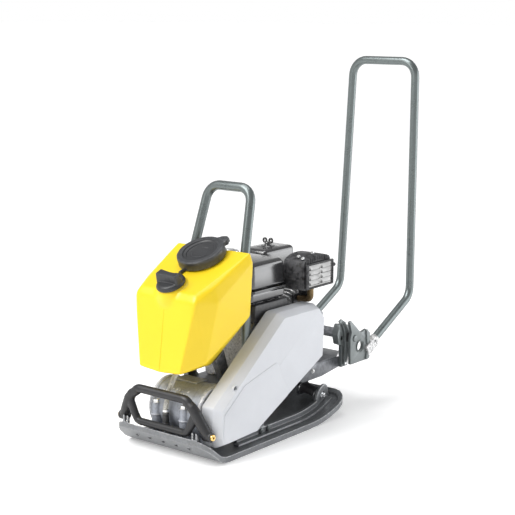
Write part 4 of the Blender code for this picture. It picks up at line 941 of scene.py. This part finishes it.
def air_cleaner():
    base = box("base", (-0.088, 0.122, 0.356), (-0.006, 0.246, 0.3735), 0.006, None, 4)
    outline = rounded(mm((-88, 122), (-6, 122), (-6, 246), (-88, 246)), 0.01, 5)
    ledge = slab("ledge", [outline], "Z", 0.3705, 0.3735, 0.0008)
    dress(merge("air_cleaner_tray", base, ledge), "black", replaces="air_cleaner_base")
    cover = box("cover", (-0.088, 0.122, 0.3742), (-0.006, 0.246, 0.425), 0.0105, None, 6, 0.965)
    for vert in cover.data.vertices:
        x, y, z = vert.co
        if z > 0.4135:
            u, v = (x + 0.047) / 0.041, (y - 0.184) / 0.062
            vert.co.z += 0.0035 * max(0.0, 1 - u * u) * max(0.0, 1 - v * v)
    dome = mm((0, 428.6), (12, 428.6), (16.5, 428.2), (19, 426.4), (29, 425.8), (33, 424), (0, 423))
    boss = lathe("boss", dome, CLEANER_AXIS, UP, 56)
    rib = box("rib", (-0.0876, 0.1216, 0.375), (-0.0064, 0.1232, 0.381), 0.0005, None, 1)
    lip = slab("lip", [outline], "Z", 0.3742, 0.3772, 0.0008)
    dress(merge("air_cleaner_lid_shell", cover, boss, lip, rib), "gloss", replaces="air_cleaner_cover")
    place = turned(CLEANER_AXIS, 10, "Z")
    hub = lathe("hub", mm((0, 437.5), (6.2, 437), (7.8, 434.5), (9.2, 429.5), (10, 428.9), (0, 428.9)),
        CLEANER_AXIS, UP, 32)
    wings = []
    for side in (1, -1):
        loop = [tuple(place @ Vector((side * (0.0085 + 0.0045 * math.cos(t)), 0, 0.44 + 0.005 * math.sin(t))))
            for t in [2 * math.pi * step / 18 for step in range(19)]]
        wings.append(tube("loop", loop, 0.0028, 4))
    nut = fuse(merge("wing_nut", hub, *wings), 0.0006, 2)
    dress(nut, "gloss", replaces="air_cleaner_wing_nut")
    ribs = [box("pleat", (-0.0775, 0.135 + 0.0049 * step, 0.3726), (-0.0165, 0.1375 + 0.0049 * step, 0.4175),
        0.001, None, 1) for step in range(20)]
    frame_top = box("filter_frame", (-0.078, 0.134, 0.3724), (-0.016, 0.234, 0.3765), 0.001)
    dress(merge("filter_pleats", frame_top, *ribs), "rubber", replaces="air_filter_element")


def carburettor():
    body = [box("throat", (-0.088, 0.133, 0.329), (-0.0555, 0.167, 0.3555), 0.004),
        box("flange", (-0.0595, 0.13, 0.322), (-0.0552, 0.17, 0.3555), 0.0015)]
    body.append(lathe("bowl", mm((0, 312), (13, 312.4), (15, 315), (15.2, 327), (16.5, 327.4), (16.5, 329.5),
        (0, 330)), (-0.0715, 0.15, 0.0), UP, 40))
    body.append(box("lug", (-0.0875, 0.148, 0.31), (-0.079, 0.156, 0.342), 0.001))
    dress(merge("carburettor_casting", *body), "aluminium", replaces="carburettor")
    drain = hex_bolt((-0.0715, 0.15, 0.3121), (0, 0, -1), 0.0045, 0.003, False)
    dress(drain, "brass", "machine")
    for index, z in enumerate((0.3375, 0.348)):
        screw = lathe(f"mixture_screw_{index + 1}", mm((0, 3), (2.2, 3), (2.6, 2.4), (2.6, 0), (0, 0)),
            (-0.0715, 0.133, z), (0, -1, 0), 20)
        dress(screw, "brass", "machine")
    for node in ("choke_lever", "fuel_valve_lever", "throttle_lever"):
        crisp(node, "black", 0.0005)
    knobs = {"choke": (0.182, 0.345), "fuel_valve": (0.182, 0.311)}
    for body_name, (y, z) in knobs.items():
        knob = lathe(f"{body_name}_tip", mm((0, 2), (3, 1.8), (3.6, 0.6), (3.6, 0), (0, 0)), (-0.0915, y, z),
            (-1, 0, 0), 20)
        dress(knob, "black", body_name)


def crown(y, rise=ARCH_RISE):
    """How far the muffler's arched top stands over the ends of its arc."""
    return rise * math.sqrt(max(0.0, 1 - ((y - ARCH_Y) / ARCH_HALF) ** 2))


def muffler():
    sweep = [math.pi * step / 16 for step in range(17)]
    outline = mm((104.5, 345.5), (209.5, 345.5), (212, 349), (212, 406))
    outline += [(ARCH_Y + ARCH_HALF * math.cos(turn), ARCH_Z + ARCH_RISE * math.sin(turn))
        for turn in sweep[1:-1]]
    outline += [(0.102, 0.406), (0.102, 0.349)]
    body = slab("muffler_can", [outline], "X", 0.066, 0.13, 0.0032)
    smooth(body, 28.0)
    lips = [box("slot_lip", (0.076, 0.1004, z), (0.113, 0.103, z + 0.0034), 0.001, None, 2)
        for z in (0.386, 0.369)]
    lips += [lathe("rivet", mm((0, 1), (1.6, 0.6), (1.8, 0), (0, 0)), (x, 0.102, 0.356), (0, -1, 0), 16)
        for x in (0.106, 0.116)]
    lips += [box("edge_rib", (0.07, 0.104 + 0.0075 * step, 0.0), (0.079, 0.1064 + 0.0075 * step, 0.003), 0.0008,
        Matrix.Translation((0, 0, 0.4065 + crown(0.1052 + 0.0075 * step))), 1) for step in range(6)]
    dress(merge("muffler_can", body, *lips), "heat_black", replaces="muffler_body")
    teeth = []
    for step in range(12):
        y = 0.118 + 0.0072 * step
        rise = ARCH_Z + crown(y)
        teeth.append(box("tooth", (0.121, y, rise - 0.013), (0.1336, y + 0.0038, rise - 0.001), 0.0009, None,
            1))
    rail = [(0.13, 0.11 + 0.0059 * step, 0.4055 + crown(0.11 + 0.0059 * step, 0.0195)) for step in range(17)]
    edge = tube("edge", rail, 0.0022, 4)
    dress(merge("muffler_comb", edge, *teeth), "heat_black", "machine")
    tab = slab("tab", [rounded(mm((106, 404), (118, 404), (117, 423.5), (108, 425)), 0.0025, 3),
        circle(0.1115, 0.4185, 0.0022, 16), circle(0.1112, 0.4105, 0.0022, 16)], "X", 0.1318, 0.1332, 0.0003)
    dress(tab, "heat_black", "machine")
    for index, (x, y, z) in enumerate(((0.1, 0.12, 0.4236), (0.118, 0.113, 0.4215), (0.112, 0.16, 0.4288))):
        dress(hex_bolt((x, y, z), UP, 0.0042, 0.0028, name=f"muffler_bolt_{index + 1}"), "chrome", "machine")


def muffler_shield():
    low, high, front, back = 0.348, 0.411, 0.105, 0.214
    outline = rounded([(front, low), (back, low), (back, high), (front, high)], 0.003, 3)
    hole = rounded(mm((111.5, 353), (208.5, 353), (208.5, 406), (111.5, 406)), 0.002, 3)
    rim = slab("rim", [outline, hole], "X", 0.1333, 0.1378, 0.0008)
    post = box("post", (0.1333, 0.1035, 0.348), (0.1392, 0.1128, 0.411), 0.0018)
    lug = hex_bolt((0.134, 0.213, 0.396), (0.6, 0.8, 0), 0.0052, 0.006, False)
    dress(merge("shield_frame", rim, post, lug), "heat_black", replaces="muffler_guard")
    # A sheet with two columns of pressed louvres: each swells out of the sheet below its own slot.
    bm = bmesh.new()
    rows, columns = 96, 120
    y0, y1, z0, z1 = 0.112, 0.2088, 0.352, 0.4066
    slots = [(y, 0.3585 + 0.0122 * row) for row in range(4) for y in (0.1155, 0.1635)]
    grid = []
    for i in range(rows + 1):
        line = []
        for j in range(columns + 1):
            y, z = y0 + (y1 - y0) * j / columns, z0 + (z1 - z0) * i / rows
            out = 0.0
            for start, level in slots:
                across = (y - start) / 0.041
                if not 0.0 < across < 1.0:
                    continue
                end = min(1.0, min(across, 1.0 - across) / 0.1)
                above = (z - level) / 0.009
                if 0.0 < above < 1.0:
                    out = max(out, 0.0034 * end * (1.0 - above) ** 0.8)
            line.append(bm.verts.new((0.1352 + out, y, z)))
        grid.append(line)
    for i in range(rows):
        for j in range(columns):
            bm.faces.new((grid[i][j], grid[i][j + 1], grid[i + 1][j + 1], grid[i + 1][j]))
    sheet = to_object("shield_louvres", bm)
    modifier(sheet, "SOLIDIFY", thickness=0.0008, offset=-1.0)
    apply(sheet)
    smooth(sheet, 42.0)
    dress(sheet, "shield", "machine")
    # Black slits and end pieces in the louvre openings are painted shade.
    shadows = []
    for start, level in slots:
        for tip, way in ((start + 0.0002, 1), (start + 0.0408, -1)):
            ends = [(tip, level - 0.0008), (tip + way * 0.0034, level - 0.0018),
                (tip + way * 0.0034, level + 0.0042)]
            shadows.append(slab("vent", [ends], "X", 0.1342, 0.1376, 0.0))
        shadows.append(box("slit", (0.1346, start + 0.003, level - 0.0016), (0.136, start + 0.038,
            level + 0.0002), 0.0002, None, 1))
    dress(merge("shield_vent_shade", *shadows), "heat_black", "machine")
    back = box("shield_back", (0.1306, 0.108, 0.35), (0.133, 0.21, 0.406), 0.0008)
    dress(back, "heat_black", "machine")


def exhaust():
    pipe = rounded(mm((66, 166, 308), (84, 164, 311), (106, 161, 312.5), (106, 161, 344.6)),
        [0, 0.02, 0.012, 0], 8, closed=False)
    flange = [lathe("collar", mm((0, 0), (11.5, 0), (12, 0.6), (12, 3), (11.5, 3.6), (0, 3.6)),
        (0.106, 0.161, 0.3408), UP, 40)]
    dress(merge("exhaust_elbow", tube("pipe", pipe, 0.008, 8), *flange), "tint", replaces="exhaust_pipe")


def muffler_stay():
    plate = box("stay", (0.06, 0.172, 0.304), (0.093, 0.176, 0.345), 0.0008)
    foot = box("foot", (0.06, 0.15, 0.338), (0.098, 0.176, 0.3447), 0.0008)
    gasket = box("port", (0.0562, 0.15, 0.296), (0.0625, 0.182, 0.32), 0.001)
    dress(merge("muffler_stay", plate, foot, gasket), "heat_black", "machine")


def cylinder():
    parts = [box("barrel", (-0.04, 0.0556, -0.04), (0.044, 0.14, 0.04), 0.004, CYLINDER)]
    for row in range(7):
        y = 0.0626 + 0.0118 * row
        outline = rounded(mm((-52, -50), (56, -50), (56, 50), (-52, 50)), 0.02, 6)
        fin = slab("fin", [outline], "Y", y, y + 0.0032, 0.0011)
        fin.data.transform(CYLINDER)
        parts.append(fin)
    for x in (-0.03, 0.034):
        for z in (-0.03, 0.03):
            if x > 0.03 and z > 0.0:
                continue  # The spark plug takes this corner.
            parts.append(hex_bolt(CYLINDER @ Vector((x, 0.14, z)), CYLINDER_WAY, 0.005, 0.0022, False))
    dress(merge("cylinder_fins", *parts), "fins", replaces="engine_cylinder")
    cover = box("cover", (-0.04, 0.1403, -0.036), (0.022, 0.1725, 0.036), 0.006, CYLINDER, 4)
    rim = box("rim", (-0.04, 0.1403, -0.036), (0.022, 0.144, 0.036), 0.001, CYLINDER)
    bolts = []
    for x, z in ((-0.036, -0.032), (0.018, -0.032), (-0.036, 0.032), (0.018, 0.032)):
        bolts.append(hex_bolt(CYLINDER @ Vector((x, 0.1438, z)), CYLINDER_WAY, 0.0035, 0.003, False))
    ribs = [box("rib", (-0.034, 0.17, z), (0.016, 0.1755, z + 0.003), 0.001, CYLINDER, 2)
        for z in (-0.018, -0.0015, 0.015)]
    dress(merge("rocker_cover", cover, rim, *ribs), "aluminium", replaces="valve_cover")
    dress(merge("rocker_cover_bolts", *bolts), "steel", "machine")
    origin = CYLINDER @ Vector((0.036, 0.1403, 0.012))
    profile = mm((0, 45.8), (5, 45.5), (6.4, 44.5), (7, 40), (8.5, 38), (8.5, 33), (7.8, 32.5), (7.8, 30),
        (8.5, 29.5), (8.5, 18), (6, 15), (0, 15))
    dress(lathe("spark_plug_boot", profile, origin, CYLINDER_WAY, 40), "rubber", replaces="spark_plug")
    plug = lathe("spark_plug_hex", mm((0, 15), (4.5, 15), (4.5, 8.5), (8.8, 8), (9, 7), (9, 0), (0, 0)), origin,
        CYLINDER_WAY, 6)
    dress(plug, "chrome", "machine")


def crankcase():
    outline = mm((-35, 134.3), (149, 134.3), (149, 224.5), (123.5, 280), (-15, 280), (-35, 260))
    parts = [slab("case", [rounded(outline, 0.01, 4)], "X", -0.072, 0.066, 0.005)]
    flange = rounded(mm((-34.5, 135), (148.5, 135), (148.5, 224), (123, 279.5), (-15, 279.5), (-34.5, 260)),
        0.008, 4)
    parts.append(slab("flange", [flange], "X", 0.064, 0.072, 0.0015))
    cover = rounded(mm((-30, 142), (144, 142), (144, 222), (119, 274), (-13, 274), (-30, 256)), 0.012, 4)
    parts.append(slab("side_cover", [cover], "X", 0.07, 0.078, 0.003))
    parts.append(lathe("hub", mm((16.5, 0), (34, 0), (34, 22), (32, 24.8), (13.5, 24.8), (12.8, 0)),
        (0.07, 0.085, 0.235), RIGHT, 64))
    for turn in range(0, 360, 45):
        spin = turned(CRANK, turn + 12)
        parts.append(box("web", (0.072, -0.002, 0.03), (0.08, 0.002, 0.042), 0.0012, spin, 2))
    parts.append(box("stay", (-0.05, -0.03, 0.27), (0.05, -0.022, 0.329), 0.002))
    parts.append(box("post", (-0.03, 0.093, 0.27), (-0.012, 0.1, 0.34), 0.0015))
    parts += [box("foot", (x, -0.0345, 0.1345), (x + 0.02, -0.02, 0.146), 0.002) for x in (-0.066, 0.046)]
    for step in range(5):
        parts.append(box("rib", (-0.058 + 0.026 * step, -0.035, 0.192), (-0.054 + 0.026 * step, -0.0335, 0.25),
            0.001, None, 1))
    dress(merge("crankcase_casting", *parts), "aluminium", replaces="crankcase")
    bolts = []
    for y, z in ((-0.025, 0.15), (0.055, 0.148), (0.138, 0.15), (0.138, 0.205), (0.112, 0.266), (0.048, 0.268),
            (-0.012, 0.266), (-0.025, 0.2)):
        bolts.append(hex_bolt((0.078, y, z), RIGHT, 0.0052, 0.004))
    dress(merge("crankcase_bolts", *bolts), "steel", "machine")
    # The fan's air runs under this black sheet, between the fuel tank and the belt guard.
    shroud = slab("shroud", [rounded(mm((-33, 283), (-33, 326), (88, 326), (106, 300), (100, 283)), 0.005, 3)],
        "X", 0.07, 0.088, 0.002)
    lip = box("lip", (0.088, -0.02, 0.286), (0.0905, 0.08, 0.289), 0.0008)
    dress(merge("engine_shroud", shroud, lip), "black", "machine")
    fairing = box("fairing", (-0.07, -0.034, 0.281), (0.052, -0.0305, 0.324), 0.001)
    dress(fairing, "light_grey", "machine")
    cap = lathe("dipstick_cap", mm((0, 11.8), (10, 11.8), (12.2, 11), (13.2, 9.5), (13.8, 2), (13, 0), (0, 0)),
        (0.045, -0.0353, 0.165), (0, -1, 0), 48)
    ears = [box("ear", (-0.002, -0.012, 0.01), (0.002, 0.012, 0.0118), 0.0004, along((0, -1, 0),
        (0.045, -0.0353, 0.165)), 1)]
    dress(merge("dipstick_cap", cap, *ears), "black", replaces="oil_filler_cap")
    switch = lathe("knob", mm((0, 10.5), (8.5, 10.3), (9.8, 9), (10, 0), (0, 0)), (-0.02, -0.0353, 0.236),
        (0, -1, 0), 40)
    lever = box("lever", (-0.0225, -0.05, 0.2275), (-0.0175, -0.044, 0.2445), 0.0012)
    dress(merge("stop_switch", switch, lever), "black", replaces="engine_switch")
    for node, look in (("crankshaft", "steel"), ("centrifugal_clutch", "steel"), ("v_belt", "rubber"),
            ("flywheel_fan", "aluminium")):
        crisp(node, look, 0.0005)


def blower():
    profile = mm((0, 142), (18, 142), (20, 141.2), (38, 141.2), (42, 140), (60, 136.5), (66, 133.5), (76, 124),
        (80, 118), (81.5, 110), (84, 83), (84, 78), (81, 78), (77.5, 115), (59, 132.5), (0, 133))
    shell = lathe("shell", profile, CRANK, (-1, 0, 0), 96)
    cuts = []
    for step in range(20):
        spin = turned(CRANK, 18 * step)
        cuts.append(box("slot", (-0.15, -0.0022, 0.043), (-0.1, 0.0022, 0.064), 0.0015, spin, 2))
    shell = carve(shell, merge("slots", *cuts))
    smooth(shell, 30.0)
    spout = tube("spout", [(-0.102, 0.02, 0.277), STARTER_MOUTH], 0.011, 8)
    rim = tube("spout_rim", [(-0.115, 0.0143, 0.295), STARTER_MOUTH], 0.0122, 8)
    hub = [box("bar", (-0.1425, -0.0016, 0.0), (-0.1408, 0.0016, 0.018), 0.0004, turned(CRANK, 60 * step), 1)
        for step in range(6)]
    dress(merge("recoil_cover", shell, spout, rim, *hub), "light_grey", replaces="blower_housing")
    bolts = []
    for step in range(3):
        turn = math.radians(50 + 120 * step)
        bolts.append(hex_bolt(CRANK + Vector((-0.124, 0.0755 * math.cos(turn), 0.0755 * math.sin(turn))),
            (-1, 0, 0), 0.0042, 0.003))
    dress(merge("recoil_cover_bolts", *bolts), "steel", "machine")
    way = Vector((-0.6, -0.2, 0.775)).normalized()
    start = Vector(STARTER_MOUTH) + way * 0.003
    end = start + way * 0.008
    middle = end + way * 0.011
    wide = way.cross(Vector((0, 1, 0))).normalized()
    profile = mm((0, 16.8), (10, 15.8), (12.4, 10), (12.4, 4), (8, 0.3), (0, 0.3))
    stem = lathe("stem", profile, end, way, 48)
    bar = tube("bar", [tuple(middle + wide * reach) for reach in (-0.0232, -0.015, 0.0, 0.015, 0.0232)], 0.0083,
        8, radii=[0.86, 1.0, 0.92, 1.0, 0.86])
    dress(fuse(merge("pull_grip", stem, bar), 0.0009, 4), "black", replaces="starter_grip")
    points = [tuple(start + (end - start) * step / 40) for step in range(41)]
    rope = tube("pull_rope", points, 0.0022, 5)
    for vert in rope.data.vertices:
        level = (vert.co - start).dot(way)
        twist = math.sin(4 * math.atan2((vert.co - start).dot(wide), (vert.co - start).y) + level * 4200)
        axis_point = start + way * level
        vert.co = axis_point + (vert.co - axis_point) * (1.0 + 0.06 * (twist - 1.0))
    dress(rope, "rubber", replaces="starter_rope", between=("machine", "starter", tuple(start), tuple(end)))


# Frame under the engine ------------------------------------------------------------------------------


def console():
    frame_piece = rounded_edges(cad("console_frame", "engine_console"), 0.0016, 3)
    dress(frame_piece, "frame_grey", replaces="engine_console")
    bolts = []
    for x in (-0.055, 0.055):
        for y in (0.01, 0.11):
            bolts.append(hex_bolt((x, y, 0.128), (0, 0, -1), 0.007, 0.0055))
    dress(merge("engine_bolts", *bolts), "steel", "machine")
    bolts = []
    for side in (1, -1):
        for y in (-0.05, 0.075, 0.2):
            bolts.append(hex_bolt((side * 0.085, y, 0.116), (side, 0, 0), 0.0045, 0.0035))
    dress(merge("console_side_bolts", *bolts), "steel", "machine")


# The rubber mounts: their outer end's place, radius, inner end and tilt.
MOUNT_X, MOUNT_Z, MOUNT_RADIUS, MOUNT_INNER_X, MOUNT_TILT = 0.0885, 0.05, 0.019, 0.0303, math.radians(12)


def mounts():
    for end, y in (("front", -0.035), ("rear", 0.228)):
        for side, hand in ((1, "right"), (-1, "left")):
            way = Vector((side * math.cos(MOUNT_TILT), 0.0, -math.sin(MOUNT_TILT)))
            place = Vector((side * MOUNT_X, y, MOUNT_Z))
            clear = MOUNT_RADIUS * math.tan(MOUNT_TILT) + 0.0003
            low, high = clear - (MOUNT_X - MOUNT_INNER_X) / math.cos(MOUNT_TILT), -clear
            rings = []
            for step in range(25):
                share = step / 24
                waist = MOUNT_RADIUS - 0.0062 * math.sin(math.pi * share) ** 0.7
                rings.append((waist, low + 0.003 + (high - low - 0.006) * share))
            body = lathe(f"mount_buffer_{end}_{hand}", [(0.0, rings[0][1]), *rings, (0.0, rings[-1][1])], place,
                way, 56)
            dress(body, "rubber", replaces=f"rubber_mount_{end}_{hand}")
            discs = []
            for level in (low, high - 0.0028):
                disc = mm((0, 2.8), (18, 2.8), (19, 2.2), (19, 0.6), (18.4, 0), (0, 0))
                discs.append(lathe("disc", [(r, h + level) for r, h in disc], place, way, 56))
            discs.append(lathe("stud", [(0.0, 0.014), (0.0034, 0.014), (0.0034, high), (0.0, high)], place, way,
                20))
            thick = 0.008 / math.cos(MOUNT_TILT) + 0.0095 * math.tan(MOUNT_TILT)
            discs.append(hex_bolt(place + way * thick, way, 0.0085, 0.005, False))
            washer = mm((0, 0), (10.5, 0), (10.5, 1.6), (0, 1.6))
            discs.append(lathe("washer", washer, (side * 0.0966, y, 0.0483), (side, 0, 0), 32))
            dress(merge(f"mount_steel_{end}_{hand}", *discs), "chrome", "machine")


# Light and floor -------------------------------------------------------------------------------------


def area_light(name, place, aim, size, power, colour=(1.0, 1.0, 1.0)):
    lamp = bpy.data.lights.new(name, "AREA")
    lamp.energy = power
    lamp.color = colour
    lamp.size = size
    holder = link(bpy.data.objects.new(name, lamp))
    holder.location = place
    holder.rotation_euler = (Vector(aim) - Vector(place)).to_track_quat("-Z", "Y").to_euler()


def studio():
    """A pale room that is brightest at the horizon, three softboxes, one even light and a white floor."""
    world = bpy.data.worlds.new("studio_world")
    world.use_nodes = True
    nodes, links = world.node_tree.nodes, world.node_tree.links
    split = nodes.new("ShaderNodeSeparateXYZ")
    height = nodes.new("ShaderNodeMapRange")
    for key, value in (("From Min", 0.02), ("From Max", 0.35), ("To Min", 1.0), ("To Max", 0.36)):
        height.inputs[key].default_value = value
    links.new(nodes.new("ShaderNodeTexCoord").outputs["Generated"], split.inputs[0])
    links.new(split.outputs["Z"], height.inputs["Value"])
    links.new(height.outputs["Result"], nodes["Background"].inputs["Color"])
    nodes["Background"].inputs["Strength"].default_value = 1.0
    bpy.context.scene.world = world
    bpy.context.scene.view_settings.view_transform = "Standard"
    area_light("key_softbox", (-0.9, -2.0, 1.9), (0.0, -0.1, 0.25), 1.2, 20.0, (1.0, 0.99, 0.97))
    area_light("side_softbox", (2.0, 2.1, 0.75), (0.0, 0.0, 0.35), 2.1, 36.0, (0.97, 0.985, 1.0))
    area_light("top_softbox", (-0.2, 0.1, 2.6), (0.0, 0.1, 0.2), 1.3, 14.0)
    sun = bpy.data.lights.new("even_light", "SUN")
    sun.energy = 1.9
    sun.angle = math.radians(35)
    holder = link(bpy.data.objects.new("even_light", sun))
    holder.rotation_euler = Vector((0.45, 0.75, -1.15)).to_track_quat("-Z", "Y").to_euler()
    mesh = bpy.data.meshes.new("studio_floor")
    bm = bmesh.new()
    reach, level = 60.0, -0.0004
    corners = ((-reach, -reach), (reach, -reach), (reach, reach), (-reach, reach))
    bm.faces.new([bm.verts.new((x, y, level)) for x, y in corners])
    bm.to_mesh(mesh)
    bm.free()
    floor = link(bpy.data.objects.new("studio_floor", mesh))
    graph = Graph("studio_floor_white")
    colour = graph.mix(graph.noise(1.5, 2.0), (0.92, 0.92, 0.92), (0.95, 0.95, 0.95))
    graph.join(colour, graph.shader.inputs["Base Color"])
    graph.shader.inputs["Roughness"].default_value = 0.85
    graph.shader.inputs["Emission Color"].default_value = (1.0, 1.0, 1.0, 1.0)
    graph.shader.inputs["Emission Strength"].default_value = 0.26
    mesh.materials.append(graph.material)


# Making ----------------------------------------------------------------------------------------------

make_camera()
water_feed()
water_tank()
lid_parts()
knob_parts()
belt_guard()
guide_handle()
lifting_bail()
hinge()
base_plate()
exciter()
front_handle()
fuel_tank()
air_cleaner()
carburettor()
muffler()
muffler_shield()
exhaust()
muffler_stay()
cylinder()
crankcase()
blower()
console()
mounts()
studio()
